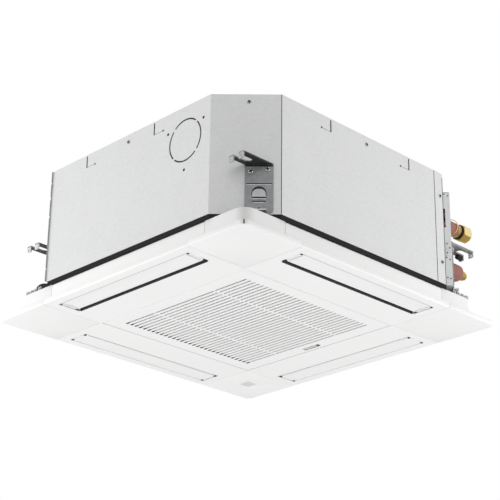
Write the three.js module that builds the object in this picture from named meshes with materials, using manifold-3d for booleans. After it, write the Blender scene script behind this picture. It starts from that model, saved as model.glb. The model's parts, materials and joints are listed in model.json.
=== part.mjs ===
// A ceiling cassette air conditioner: a galvanised casing that hangs above the ceiling from four
// brackets, and a square white panel below it with a swinging intake grille and four air vanes.
// Millimetres, +Z up. The origin is the centre of the four hanger arms' undersides.
// +X and -Y are the two sides that face the viewer; the pipes leave at the +X +Y corner.
import * as THREE from "three";
import { mergeVertices } from "three/addons/utils/BufferGeometryUtils.js";
import Module from "manifold-3d";

const wasm = await Module();
wasm.setup();

// ---------------------------------------------------------------- driving sizes
const roundSteps = 20; // facets round a hidden turned piece
const smoothSteps = 32; // and round one that shows
const clearance = 0.3; // between pieces that touch
const runningGap = 0.4; // around a pin that turns

const casingHalf = 287.5; // half the casing's width, which the panel and the inside follow
const panelOverhang = 22.5; // of the panel's flange past the casing
const panelHalf = casingHalf + panelOverhang;
const panelCornerRadius = 12;
const flangeDepth = 12; // the flange below the ceiling
const flangeBack = 3; // fall of the flange's back from the skirt to its edge
const skirtInset = 3; // from the casing's face
const skirtHalf = casingHalf - skirtInset;
const skirtCornerRadius = 22;
const skirtHeight = 35; // above the ceiling
const mouldingWall = 2.5;

const hangerAboveCeiling = 129;
const gasketHeight = 8;
const gasketWidth = 8;
const gasketOverhang = 0.5; // how far the gasket stands inside the casing's face
const casingChamfer = 82; // leg of the cut corners
const casingHeight = 214;
const sheet = 1; // galvanised sheet
const casingLip = 8; // turned in at the casing's bottom edge
const cornerSheetReach = 23; // the piping corner's sheet laps this far along each face
const sheetSeam = 0.5;

const knockOutRadius = 37.5;
const knockOutSlit = 2;
const knockOutBridge = 8; // degrees of metal left at each bridge
const knockOutAcross = 145.6; // from the middle of the face
const knockOutBelowTop = 62.5;
const knockOutScrewHole = 2;
const hookSlitWidth = 1.6;
const hookSlitDrop = 22;
const hookSlitLength = 23;

const topBead = 3;
const beadHalf = 9;
const beadInset = 13; // from the dish
const beadEndInset = 48; // from the cut corner
const topRim = 18;
const topDishRadius = 105;
const topDishDepth = 5;

const liningThickness = 14;
const roofThickness = 12;
const drainPanHeight = 46;
const outletHalfLength = 160;
const outletInset = 44.5; // from the casing's face to the outlet duct's inner wall
const outletInner = casingHalf - outletInset;
const outletWidth = 33;
const gutterWall = 6; // foam between the gutter and the outlets
const gutterWidth = 50;
const gutterOuter = outletInner - gutterWall;
const gutterInner = gutterOuter - gutterWidth;
const gutterWellGap = 4; // foam between the well and the outlets
const gutterWellDepth = 4;
const gutterWellReach = 22; // past the gutter
const gutterFloor = 20; // foam left below the gutter

const coilThickness = 36;
const coilGap = 5.5; // from the block's outer face to the gutter's wall
const coilInner = gutterOuter - coilGap - coilThickness;
const coilEndInset = 139.5; // both legs stop this far short of the casing's face, by the piping corner
const coilEnd = casingHalf - coilEndInset;
const coilInnerRadius = 24;
const finPitch = 60;
const finGroove = 3;
const tubePlate = 1.2;
const tubePlateMargin = 2;
const returnBendRadius = 10.5;
const returnBendTube = 3.6;
const returnBendCount = 3;
const returnBendPitch = 48;

const motorRadius = 60;
const motorHeight = 66;
const motorBelowTop = 16;
const shaftRadius = 4;
const fanRadius = 172;
const fanInletRadius = 128;
const fanHeight = 122;
const fanWall = 2.4;
const fanHubRadius = 70;
const fanHubDrop = 58;
const bladeCount = 7;
const bladeThickness = 4;
const fanBelowTop = 32;
const mouthRadius = 121;
const mouthOuterRadius = 158;
const mouthHalf = 172;
const mouthPlate = 1.6;
const mouthIntoFan = 5;

const outletOpeningHalf = 164.7; // in the panel's face, along the side
const outletStep = 2; // the panel's opening starts this far outside the casing's duct
const outletOpeningWidth = 45.5;
const outletOpeningInner = outletInner + outletStep;
const outletOpeningOuter = outletOpeningInner + outletOpeningWidth;
const vaneEdgeGap = 0.6;
const vaneInnerGap = 6.5;
const vaneEndGap = 2;
const vaneThickness = 2.4;
const vaneHollow = 1.4;
const vanePivotInward = 10; // from the opening's inner edge
const vanePivotRise = 8; // above the panel's face
const vanePin = 2.2;
const vaneArm = 2;
const vaneMotorRadius = 13.5;
const vaneMotorDepth = 19;
const vaneMotorOffset = 9; // its shaft sits off its middle

const grilleHalf = 179.6;
const grilleGap = 0.8;
const grilleEdgeRadius = 3.5;
const grillePlate = 2.2;
const grilleWall = 2;
const grilleWallHeight = 9;
const grilleBorder = 28.1; // plain edge round the slots
const grilleFieldHalf = grilleHalf - grilleBorder;
const slatPitch = 9.9;
const slatWidth = 5.9;
const slatCount = Math.floor((2 * grilleFieldHalf + slatWidth) / slatPitch) - 1;
const slatFin = 1.8;
const slatHeight = 9.5;
const grilleRibAt = 75;
const grilleRibWidth = 3;
const grillePin = 1.6;
const grillePinLength = 2.4;
const latchSlotLength = 40;
const latchSlotWidth = 9;
const latchSlotInset = 12.1; // from the grille's edge
const latchSlotAt = grilleHalf - latchSlotInset;
const latchTravel = 4.5;
const latchTongueHalf = 10;
const latchTongueReach = 1.4;
const latchThickness = 1.8;
const filterInset = 19.6; // from the grille's edge
const filterHalf = grilleHalf - filterInset;
const filterHeight = 4;
const filterBar = 5;
const filterRib = 3;
const filterRibAt = 55;

const seamGap = 0.6;
const cornerSeamAt = grilleHalf + grilleGap + mouldingWall + seamGap;
const skirtSeamAt = 195;
const cornerSlotWidth = 2.2;
const cornerBossInset = 24.5; // from the casing's face
const cornerBossAt = casingHalf - cornerBossInset;
const cornerBossRadius = 5;
const ledgeDepth = 18; // the rim below the gasket
const receiverHalf = 12;
const receiverInset = 70; // from the panel's edge
const receiverAt = panelHalf - receiverInset;

const bracketSheet = 2.3;
const bracketWidth = 46;
const bracketOffset = 21.6; // plate's middle along the chamfer, towards the X face
const bracketDrop = 84; // plate below the arm
const bracketTipInset = 12.5; // fork tip, short of the casing's face
const bracketTip = casingHalf - bracketTipInset;
const forkSlot = 12;
const forkSlotLength = 26;
const forkTab = 9;
const bracketArch = 12;
const bracketArchFootZ = -55.5;
const bracketArchSpringZ = -50.5;
const bracketGrooveZ = -33;
const bracketGrooveHeight = 3.5;
const bracketLip = 12;

const coverDepth = 13;
const coverHalf = 48;
const coverTopBelow = 29; // below the casing's top
const coverBottomAbove = 3;
const coverSheet = 1.2;
const coverNotch = 36;

const pipeInset = 49.5; // pipes' middle, from the casing's face
const gasPipeAt = casingHalf - pipeInset;
const gasPipeRise = 62.6; // above the hanger arms
const gasSleeveRadius = 13;
const gasTube = 8;
const gasNutFlats = 29;
const gasReach = 48.5; // past the casing's face
const gasTip = casingHalf + gasReach;
const liquidPipeRise = -23.5;
const liquidSleeveRadius = 15.8;
const liquidTube = 4.8;
const liquidUnionRadius = 8.8;
const liquidReach = 34.5;
const liquidTip = casingHalf + liquidReach;
const drainSpigotInset = 68.5;
const drainSpigotAt = casingHalf - drainSpigotInset;
const drainSpigotRise = 0;
const drainSpigotRadius = 12;
const drainReach = 18.5;
const drainTip = casingHalf + drainReach;
const drainSpigotLength = 44;

const pumpInset = 98; // from the casing's face, both ways
const pumpAt = casingHalf - pumpInset;
const pumpRadius = 28;
const floatAcrossInset = 41.5;
const floatAlongInset = 109.5;
const floatAcross = casingHalf - floatAcrossInset;
const floatAlong = casingHalf - floatAlongInset;
const floatRadius = 11;
const floatHeight = 16;
const floatStem = 3;
const floatTravel = 8;

const boxLength = 280;
const boxWidth = 52;
const boxHeight = 34;
const boxWallGap = 9.4; // to the intake's wall
const boxAt = boxWidth / 2 + boxWallGap - grilleHalf - grilleGap;
const boxSheet = 1;

// ---------------------------------------------------------------- levels that follow from them
const ceilingZ = -hangerAboveCeiling;
const faceZ = ceilingZ - flangeDepth;
const skirtTopZ = ceilingZ + skirtHeight;
const casingBottomZ = skirtTopZ + gasketHeight;
const casingTopZ = casingBottomZ + casingHeight;
const panBottomZ = casingBottomZ + sheet + clearance;
const panTopZ = panBottomZ + drainPanHeight;
const topPlateHalf = casingHalf - sheet - clearance;
const liningHalf = topPlateHalf - sheet - clearance;
const liningTopZ = casingTopZ - sheet - clearance;
const roofZ = liningTopZ - roofThickness;
const gutterZ = panBottomZ + gutterFloor;
const dishZ = casingTopZ - sheet - topDishDepth;
const coilOuter = coilInner + coilThickness;
const coilBottomZ = gutterZ + clearance;
const coilTopZ = roofZ - clearance;
const motorTopZ = casingTopZ - motorBelowTop;
const motorBottomZ = motorTopZ - motorHeight;
const fanTopZ = casingTopZ - fanBelowTop;
const fanBottomZ = fanTopZ - fanHeight;
const hubZ = fanTopZ - fanHubDrop;
const cornerReach = Math.SQRT2 * (casingHalf - casingChamfer / 2); // middle of a cut corner
const vanePivotZ = faceZ + vanePivotRise;
const vanePivotAt = outletOpeningInner + vanePivotInward;
const hingeZ = faceZ + grilleEdgeRadius;
const hingeAt = grilleHalf - grilleEdgeRadius;

// ---------------------------------------------------------------- shapes
const snap = 1000; // corners lie on a grid of a thousandth, so shared planes meet exactly
const solidOf = (geometry) => {
  geometry.deleteAttribute("normal");
  geometry.deleteAttribute("uv");
  const merged = mergeVertices(geometry, 1e-4);
  const vertProperties = merged.attributes.position.array.map((value) => Math.round(value * snap) / snap);
  const triVerts = new Uint32Array(merged.index.array);
  return new wasm.Manifold(new wasm.Mesh({ numProp: 3, vertProperties, triVerts }));
};

const geometryOf = (solid) => {
  const mesh = solid.getMesh();
  const geometry = new THREE.BufferGeometry();
  geometry.setAttribute("position", new THREE.BufferAttribute(mesh.vertProperties, 3));
  geometry.setIndex(new THREE.BufferAttribute(mesh.triVerts, 1));
  return geometry;
};

const outline = (points) => new THREE.Shape(points.map(([x, y]) => new THREE.Vector2(x, y)));

const prism = (shape, z0, z1, curveSegments = 6) => {
  const options = { depth: z1 - z0, bevelEnabled: false, curveSegments };
  return solidOf(new THREE.ExtrudeGeometry(shape, options).translate(0, 0, z0));
};

const box = (x0, x1, y0, y1, z0, z1) => {
  const geometry = new THREE.BoxGeometry(x1 - x0, y1 - y0, z1 - z0);
  return solidOf(geometry.translate((x0 + x1) / 2, (y0 + y1) / 2, (z0 + z1) / 2));
};

// A profile of [radius, height] turned about the Z axis.
const turned = (profile, segments = roundSteps) => {
  const points = profile.map(([r, z]) => new THREE.Vector2(r, z));
  if (THREE.ShapeUtils.area(points) < 0) {
    points.reverse();
  }
  return solidOf(new THREE.LatheGeometry(points, segments).rotateX(Math.PI / 2));
};

const cylinder = (radius, x, y, z0, z1, segments = 16) => {
  const geometry = new THREE.CylinderGeometry(radius, radius, z1 - z0, segments).rotateX(Math.PI / 2);
  return solidOf(geometry.translate(x, y, (z0 + z1) / 2));
};

const cylinderAlongX = (radius, x0, x1, y, z, segments = 16) => {
  const geometry = new THREE.CylinderGeometry(radius, radius, x1 - x0, segments).rotateZ(Math.PI / 2);
  return solidOf(geometry.translate((x0 + x1) / 2, y, z));
};

const cylinderAlongY = (radius, y0, y1, x, z, segments = 16) => {
  const geometry = new THREE.CylinderGeometry(radius, radius, y1 - y0, segments);
  return solidOf(geometry.translate(x, (y0 + y1) / 2, z));
};

const circle = (radius, sides) => {
  const points = [];
  for (let i = 0; i < sides; i += 1) {
    const angle = (i / sides) * 2 * Math.PI;
    points.push([radius * Math.cos(angle), radius * Math.sin(angle)]);
  }
  return outline(points);
};

// A round bar that follows a curve.
const bar = (points, radius, sides, steps) => {
  const path = new THREE.CatmullRomCurve3(points.map(([x, y, z]) => new THREE.Vector3(x, y, z)));
  const options = { steps, bevelEnabled: false, extrudePath: path };
  return solidOf(new THREE.ExtrudeGeometry(circle(radius, sides), options));
};

// A square with cut corners, each cut of the given leg.
const cutSquare = (half, leg) => {
  const flat = half - leg;
  return [
    [-flat, -half],
    [flat, -half],
    [half, -flat],
    [half, flat],
    [flat, half],
    [-flat, half],
    [-half, flat],
    [-half, -flat],
  ];
};

// The same outline moved inwards by an even distance.
const cutSquareInside = (inset) => {
  return cutSquare(casingHalf - inset, casingChamfer - inset * (2 - Math.SQRT2));
};

const square = (half) => outline(cutSquare(half, 0).filter((_, i) => i % 2 === 0));

const roundedSquare = (half, radius, steps) => {
  const points = [];
  for (let corner = 0; corner < 4; corner += 1) {
    for (let i = 0; i <= steps; i += 1) {
      const angle = (corner + i / steps) * (Math.PI / 2);
      const centre = Math.PI / 4 + corner * (Math.PI / 2);
      const reach = (half - radius) * Math.SQRT2;
      const x = reach * Math.cos(centre) + radius * Math.cos(angle);
      const y = reach * Math.sin(centre) + radius * Math.sin(angle);
      points.push([x, y]);
    }
  }
  return points;
};

// A closed skin over rings that all have the same number of points.
const loft = (rings) => {
  const count = rings[0].points.length;
  const positions = rings.flatMap(({ points, z }) => points.flatMap(([x, y]) => [x, y, z]));
  const index = [];
  for (let ring = 0; ring < rings.length - 1; ring += 1) {
    for (let i = 0; i < count; i += 1) {
      const a = ring * count + i;
      const b = ring * count + ((i + 1) % count);
      index.push(a, b, b + count, a, b + count, a + count);
    }
  }
  const top = (rings.length - 1) * count;
  for (let i = 1; i < count - 1; i += 1) {
    index.push(0, i + 1, i);
    index.push(top, top + i, top + i + 1);
  }
  const geometry = new THREE.BufferGeometry();
  geometry.setAttribute("position", new THREE.Float32BufferAttribute(positions, 3));
  geometry.setIndex(index);
  return solidOf(geometry);
};

// The four sides and the four corners, each turned a quarter from the last.
const sides = ["front", "right", "back", "left"];
const quarterTurn = (solid, quarter) => solid.rotate([0, 0, 90 * quarter]);
const allAround = (solid) => {
  const turns = [0, 1, 2, 3].map((quarter) => quarterTurn(solid, quarter));
  return turns.reduce((sum, next) => sum.add(next));
};

// From a face's own plane, across and up, to the cut corner at +X +Y, out from the casing.
const ontoPipingCorner = (solid) => solid.rotate([0, 0, 135]).translate([
  casingHalf - casingChamfer / 2,
  casingHalf - casingChamfer / 2,
  0,
]);

// ---------------------------------------------------------------- the object
const unit = new THREE.Group();
const finishes = {
  galvanised: { color: 0xc9ccce, roughness: 0.38, metalness: 0.9 },
  bracket: { color: 0x8d9092, roughness: 0.42, metalness: 0.9 },
  white: { color: 0xf4f4f2, roughness: 0.45, metalness: 0 },
  vane: { color: 0xf0f1f0, roughness: 0.4, metalness: 0 },
  foam: { color: 0xe9e9e6, roughness: 0.9, metalness: 0 },
  gasket: { color: 0x17181a, roughness: 0.95, metalness: 0 },
  aluminium: { color: 0xb9bdc0, roughness: 0.45, metalness: 0.9 },
  copper: { color: 0xb0705a, roughness: 0.4, metalness: 0.9 },
  brass: { color: 0xd3a642, roughness: 0.28, metalness: 1 },
  sleeve: { color: 0xa5705f, roughness: 0.7, metalness: 0 },
  motor: { color: 0xa6a8aa, roughness: 0.5, metalness: 0.8 },
  fan: { color: 0x2b2e31, roughness: 0.6, metalness: 0 },
  rubber: { color: 0x222325, roughness: 0.85, metalness: 0 },
  mesh: { color: 0x3c4043, roughness: 0.8, metalness: 0 },
  board: { color: 0x2f6b45, roughness: 0.6, metalness: 0 },
  window: { color: 0xb9bcbe, roughness: 0.25, metalness: 0 },
  steel: { color: 0x9a9da0, roughness: 0.35, metalness: 1 },
};
const place = (name, finish, solid) => {
  const mesh = new THREE.Mesh(geometryOf(solid), new THREE.MeshStandardMaterial(finishes[finish]));
  mesh.name = name;
  unit.add(mesh);
};

// ---------------------------------------------------------------- casing
const casingTube = prism(outline(cutSquareInside(0)), casingBottomZ, casingTopZ)
  .subtract(prism(outline(cutSquareInside(sheet)), casingBottomZ - 1, casingTopZ + 1));
const casingFoot = prism(outline(cutSquareInside(0)), casingBottomZ, casingBottomZ + sheet)
  .subtract(prism(outline(cutSquareInside(casingLip)), casingBottomZ - 1, casingBottomZ + sheet + 1));
const sheetEnd = casingHalf - casingChamfer - cornerSheetReach;
const pipingZone = box(sheetEnd, casingHalf + 5, sheetEnd, casingHalf + 5, casingBottomZ - 5, casingTopZ + 5);
const pipingZoneWide = box(
  sheetEnd - sheetSeam,
  casingHalf + 5,
  sheetEnd - sheetSeam,
  casingHalf + 5,
  casingBottomZ - 5,
  casingTopZ + 5,
);

// One face's punched slits and holes, cut through the -Y face at x across and z up.
const hookSlit = (across, toward) => {
  const top = casingTopZ - 3;
  const end = across + toward * hookSlitLength;
  const upright = box(
    across - hookSlitWidth / 2,
    across + hookSlitWidth / 2,
    -casingHalf - 2,
    -casingHalf + sheet + 2,
    top - hookSlitDrop,
    top,
  );
  const level = box(
    Math.min(across, end),
    Math.max(across, end),
    -casingHalf - 2,
    -casingHalf + sheet + 2,
    top - hookSlitDrop,
    top - hookSlitDrop + hookSlitWidth / 2,
  );
  return upright.add(level);
};
const knockOutZ = casingTopZ - knockOutBelowTop;
const knockOutRing = () => {
  const outer = cylinderAlongY(
    knockOutRadius + knockOutSlit / 2,
    -casingHalf - 2,
    -casingHalf + sheet + 2,
    knockOutAcross,
    knockOutZ,
    smoothSteps,
  );
  const inner = cylinderAlongY(
    knockOutRadius - knockOutSlit / 2,
    -casingHalf - 3,
    -casingHalf + sheet + 3,
    knockOutAcross,
    knockOutZ,
    smoothSteps,
  );
  const bridgeHalf = knockOutRadius * Math.tan((knockOutBridge * Math.PI) / 360);
  const reach = knockOutRadius * 1.3;
  const bridge = box(-reach, reach, -casingHalf - 3, -casingHalf + 5, -bridgeHalf, bridgeHalf);
  const tilt = (angle) => bridge.rotate([0, angle, 0]).translate([knockOutAcross, 0, knockOutZ]);
  return outer.subtract(inner).subtract(tilt(45)).subtract(tilt(-45));
};
const knockOutHole = (across, up) => cylinderAlongY(
  knockOutScrewHole,
  -casingHalf - 2,
  -casingHalf + sheet + 2,
  knockOutAcross + across,
  knockOutZ + up,
  8,
);
const frontCuts = hookSlit(67, 1).add(hookSlit(-112, 1));
const rightCuts = quarterTurn(hookSlit(-89.5, -1).add(hookSlit(112.3, -1)), 1);
const knockOutCuts = knockOutRing()
  .add(knockOutHole(43.4, 26))
  .add(knockOutHole(-42.7, 25.4))
  .add(knockOutHole(-0.8, -54));
place("casing_shell", "galvanised", casingTube
  .add(casingFoot)
  .subtract(pipingZoneWide)
  .subtract(frontCuts)
  .subtract(quarterTurn(frontCuts, 3))
  .subtract(rightCuts)
  .subtract(quarterTurn(rightCuts, 1))
  .subtract(knockOutCuts));

// The sheet round the piping corner, with a hole for each pipe.
const pipeHoleStart = casingHalf - casingChamfer + 10;
const pipeHoleEnd = casingHalf + casingChamfer;
const pipeHoles = (gap) => {
  const gas = cylinderAlongY(gasSleeveRadius + gap, pipeHoleStart, pipeHoleEnd, gasPipeAt, gasPipeRise);
  const holeAt = (radius, x, z) => cylinderAlongY(radius + gap, pipeHoleStart, pipeHoleEnd, x, z);
  const liquid = holeAt(liquidSleeveRadius, gasPipeAt, liquidPipeRise);
  const drain = holeAt(drainSpigotRadius, drainSpigotAt, drainSpigotRise);
  return gas.add(liquid).add(drain);
};
place("piping_corner_sheet", "galvanised", casingTube
  .add(casingFoot)
  .intersect(pipingZone)
  .subtract(pipeHoles(clearance)));

// The shallow cover that stands off the piping corner. Built across X, outward along -Y.
const coverTopZ = casingTopZ - coverTopBelow;
const coverBottomZ = casingBottomZ + coverBottomAbove;
const coverOuter = prism(
  outline([
    [-coverHalf, coverBottomZ],
    [coverHalf, coverBottomZ],
    [coverHalf, coverTopZ - 4],
    [coverHalf - 4, coverTopZ],
    [4 - coverHalf, coverTopZ],
    [-coverHalf, coverTopZ - 4],
  ]),
  clearance,
  coverDepth,
).rotate([90, 0, 0]);
const coverHollow = box(
  coverSheet - coverHalf,
  coverHalf - coverSheet,
  coverSheet - coverDepth,
  1,
  coverBottomZ + coverSheet,
  coverTopZ - coverSheet,
);
const coverNotchTop = gasPipeRise + 2;
const coverSideNotch = box(-coverHalf - 1, coverHalf + 1, -4, 1, coverNotchTop - coverNotch, coverNotchTop);
place("piping_cover", "galvanised", ontoPipingCorner(coverOuter
  .subtract(coverHollow)
  .subtract(coverSideNotch))
  .subtract(pipeHoles(clearance)));

// Top plate: turned-down rim, pressed dish for the motor and a bead to each corner.
const plateOutline = cutSquareInside(sheet + clearance);
const plateInner = cutSquareInside(2 * sheet + clearance);
const dish = turned(
  [
    [0, dishZ],
    [topDishRadius - 8, dishZ],
    [topDishRadius, casingTopZ - sheet],
    [topDishRadius + 2, casingTopZ - sheet],
    [topDishRadius + 2, casingTopZ],
    [topDishRadius - 1, casingTopZ],
    [topDishRadius - 9, dishZ + sheet],
    [0, dishZ + sheet],
  ],
);
const beadStart = topDishRadius + beadInset;
const beadEnd = cornerReach - beadEndInset;
const beadOuter = box(beadStart, beadEnd, -beadHalf, beadHalf, casingTopZ - sheet, casingTopZ + topBead);
const beadInner = box(
  beadStart + sheet,
  beadEnd - sheet,
  sheet - beadHalf,
  beadHalf - sheet,
  casingTopZ - sheet - 1,
  casingTopZ + topBead - sheet,
);
const onCorners = (solid) => allAround(solid.rotate([0, 0, 45]));
place("top_plate", "galvanised", prism(outline(plateOutline), casingTopZ - sheet, casingTopZ)
  .subtract(cylinder(topDishRadius + 1, 0, 0, casingTopZ - 5, casingTopZ + 5, roundSteps))
  .add(dish)
  .add(onCorners(beadOuter))
  .subtract(onCorners(beadInner))
  .add(prism(outline(plateOutline), casingTopZ - topRim, casingTopZ - sheet / 2)
    .subtract(prism(outline(plateInner), casingTopZ - topRim - 1, casingTopZ))));

// ---------------------------------------------------------------- hanger brackets
// alongX and alongY pick the corner; standOff is how far the plate stands from the casing.
const bracketAt = (alongX, alongY, standOff) => {
  const top = bracketSheet;
  const arch = new THREE.Shape();
  arch.moveTo(-bracketArch, bracketArchFootZ);
  arch.lineTo(bracketArch, bracketArchFootZ);
  arch.lineTo(bracketArch, bracketArchSpringZ);
  arch.absarc(0, bracketArchSpringZ, bracketArch, 0, Math.PI, false);
  const plate = prism(
    outline([
      [-bracketWidth / 2 + 5, -bracketDrop],
      [bracketWidth / 2 - 5, -bracketDrop],
      [bracketWidth / 2, 5 - bracketDrop],
      [bracketWidth / 2, top],
      [-bracketWidth / 2, top],
      [-bracketWidth / 2, 5 - bracketDrop],
    ]),
    0,
    bracketSheet,
  )
    .subtract(prism(arch, -1, bracketSheet + 1, 6))
    .rotate([90, 0, 0]);
  const groove = box(
    2 - bracketWidth / 2,
    bracketWidth / 2 - 2,
    -bracketSheet - 1.2,
    -bracketSheet / 2,
    bracketGrooveZ,
    bracketGrooveZ + bracketGrooveHeight,
  );
  const foot = box(
    -bracketLip,
    bracketLip,
    -bracketLip,
    -bracketSheet / 2,
    -bracketDrop,
    bracketSheet - bracketDrop,
  );
  const toCorner = (solid) => solid
    .translate([alongX * alongY * -bracketOffset, -clearance - standOff, 0])
    .rotate([0, 0, (Math.atan2(alongX, -alongY) * 180) / Math.PI])
    .translate([
      alongX * (casingHalf - casingChamfer / 2),
      alongY * (casingHalf - casingChamfer / 2),
      0,
    ]);
  const middle = casingHalf - casingChamfer / 2;
  const faceSum = 2 * middle + (clearance + standOff + bracketSheet / 2) * Math.SQRT2;
  const lean = (bracketOffset - bracketWidth / 2) / Math.SQRT2;
  const nearX = middle + lean + (clearance + standOff) / Math.SQRT2;
  const farX = nearX + bracketWidth / Math.SQRT2;
  const slotX = (nearX + farX) / 2;
  const tip = bracketTip + standOff;
  const at = (x, y) => [alongX * x, alongY * y];
  const arm = prism(
    outline([
      at(nearX, faceSum - nearX),
      at(nearX, tip),
      at(slotX - forkSlot / 2, tip),
      at(slotX - forkSlot / 2, tip - forkSlotLength + forkSlot / 2),
      at(slotX - forkSlot / 4, tip - forkSlotLength + 1),
      at(slotX + forkSlot / 4, tip - forkSlotLength + 1),
      at(slotX + forkSlot / 2, tip - forkSlotLength + forkSlot / 2),
      at(slotX + forkSlot / 2, tip),
      at(farX, tip),
      at(farX, faceSum - farX),
    ]),
    0,
    bracketSheet,
  );
  const tab = (x0, x1) => prism(
    outline([at(x0, tip - bracketSheet), at(x1, tip - bracketSheet), at(x1, tip), at(x0, tip)]),
    -forkTab,
    bracketSheet,
  );
  const tabs = tab(nearX, slotX - forkSlot / 2).add(tab(slotX + forkSlot / 2, farX));
  return toCorner(plate.add(groove).add(foot)).add(arm).add(tabs);
};
place("hanger_bracket_front_right", "bracket", bracketAt(1, -1, 0));
place("hanger_bracket_front_left", "bracket", bracketAt(-1, -1, 0));
place("hanger_bracket_back_left", "bracket", bracketAt(-1, 1, 0));
place("hanger_bracket_back_right", "bracket", bracketAt(1, 1, coverDepth));

// ---------------------------------------------------------------- foam lining and drain pan
const liningInset = casingHalf - liningHalf;
place("foam_lining", "foam", prism(outline(cutSquareInside(liningInset)), panTopZ + clearance, liningTopZ)
  .subtract(prism(outline(cutSquareInside(liningInset + liningThickness)), panTopZ, roofZ))
  .subtract(cylinder(topDishRadius + 4, 0, 0, roofZ - 5, casingTopZ, roundSteps))
  .subtract(pipeHoles(1)));

const outletDuct = box(
  -outletHalfLength,
  outletHalfLength,
  -outletInner - outletWidth,
  -outletInner,
  panBottomZ - 1,
  panTopZ + 1,
);
const gutter = prism(square(gutterOuter), gutterZ, panTopZ + 1)
  .subtract(prism(square(gutterInner), gutterZ - 1, panTopZ + 2));
const gutterWell = box(
  outletHalfLength + gutterWellGap,
  gutterOuter + gutterWellReach,
  outletHalfLength + gutterWellGap,
  gutterOuter + gutterWellReach,
  gutterZ - gutterWellDepth,
  panTopZ + 1,
).intersect(prism(outline(cutSquareInside(liningInset + liningThickness)), panBottomZ, panTopZ + 2));
place("drain_pan", "foam", prism(outline(cutSquareInside(liningInset)), panBottomZ, panTopZ)
  .subtract(cylinder(mouthOuterRadius + 5, 0, 0, panBottomZ - 1, panTopZ + 1, roundSteps))
  .subtract(gutter)
  .subtract(gutterWell)
  .subtract(allAround(outletDuct)));

// ---------------------------------------------------------------- heat exchanger
// One bent finned block, open at the piping corner, with upright grooves between its fins.
const coilOutline = () => {
  const outer = [];
  const inner = [];
  const comb = (list, from, to, inward, rail) => {
    const length = Math.hypot(to[0] - from[0], to[1] - from[1]);
    const count = Math.floor(length / finPitch);
    const along = [(to[0] - from[0]) / length, (to[1] - from[1]) / length];
    const margin = (length - count * finPitch) / 2;
    list.push(from);
    for (let i = 0; i < count; i += 1) {
      const start = margin + i * finPitch + (finPitch - finGroove) / 2;
      const depth = inward * rail;
      const at = (s, d) => [from[0] + along[0] * s - along[1] * d, from[1] + along[1] * s + along[0] * d];
      list.push(at(start, 0), at(start, depth), at(start + finGroove, depth), at(start + finGroove, 0));
    }
    list.push(to);
  };
  const bend = (list, cx, cy, radius, from) => {
    for (let i = 1; i < 4; i += 1) {
      const angle = ((from - i * 22.5) * Math.PI) / 180;
      list.push([cx + radius * Math.cos(angle), cy + radius * Math.sin(angle)]);
    }
  };
  const pivot = coilInner - coilInnerRadius;
  const outerRadius = coilInnerRadius + coilThickness;
  comb(outer, [coilOuter, coilEnd], [coilOuter, -pivot], -1, finGroove);
  bend(outer, pivot, -pivot, outerRadius, 0);
  comb(outer, [pivot, -coilOuter], [-pivot, -coilOuter], -1, finGroove);
  bend(outer, -pivot, -pivot, outerRadius, 270);
  comb(outer, [-coilOuter, -pivot], [-coilOuter, pivot], -1, finGroove);
  bend(outer, -pivot, pivot, outerRadius, 180);
  comb(outer, [-pivot, coilOuter], [coilEnd, coilOuter], -1, finGroove);
  comb(inner, [coilInner, coilEnd], [coilInner, -pivot], 1, finGroove);
  bend(inner, pivot, -pivot, coilInnerRadius, 0);
  comb(inner, [pivot, -coilInner], [-pivot, -coilInner], 1, finGroove);
  bend(inner, -pivot, -pivot, coilInnerRadius, 270);
  comb(inner, [-coilInner, -pivot], [-coilInner, pivot], 1, finGroove);
  bend(inner, -pivot, pivot, coilInnerRadius, 180);
  comb(inner, [-pivot, coilInner], [coilEnd, coilInner], 1, finGroove);
  return outline([...outer, ...inner.reverse()]);
};
place("heat_exchanger", "aluminium", prism(coilOutline(), coilBottomZ, coilTopZ));

// The plates at the block's two ends, with the return bends of its tubes.
const returnBend = (z) => {
  const points = [];
  const radius = returnBendRadius;
  for (let i = 0; i <= 6; i += 1) {
    const angle = Math.PI * (i / 6);
    const out = radius * Math.sin(angle);
    points.push([-radius * Math.cos(angle) * 0.8, out - (i % 6 === 0 ? 0.6 : 0), z]);
  }
  return bar(points, returnBendTube, 5, 5);
};
const tubePlateSolid = () => {
  let solid = box(
    -coilThickness / 2 - tubePlateMargin,
    coilThickness / 2 + tubePlateMargin,
    clearance,
    clearance + tubePlate,
    coilBottomZ,
    coilTopZ,
  );
  for (let i = 0; i < returnBendCount; i += 1) {
    const z = coilBottomZ + 18 + i * returnBendPitch;
    solid = solid.add(returnBend(z).translate([0, clearance + tubePlate, 0]));
  }
  return solid;
};
const coilMiddle = coilInner + coilThickness / 2;
place("tube_plate_right", "copper", tubePlateSolid().translate([coilMiddle, coilEnd, 0]));
place("tube_plate_back", "copper", tubePlateSolid().rotate([0, 0, -90]).translate([coilEnd, coilMiddle, 0]));

// ---------------------------------------------------------------- fan and its motor
const motorFlange = turned(
  [
    [0, motorBottomZ],
    [motorRadius - 6, motorBottomZ],
    [motorRadius, motorBottomZ + 6],
    [motorRadius, motorTopZ - 22],
    [motorRadius + 8, motorTopZ - 22],
    [motorRadius + 8, motorTopZ - 18],
    [motorRadius, motorTopZ - 18],
    [motorRadius - 2, motorTopZ - 6],
    [motorRadius - 10, motorTopZ],
    [0, motorTopZ],
  ],
);
place("fan_motor", "motor", motorFlange);

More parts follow.
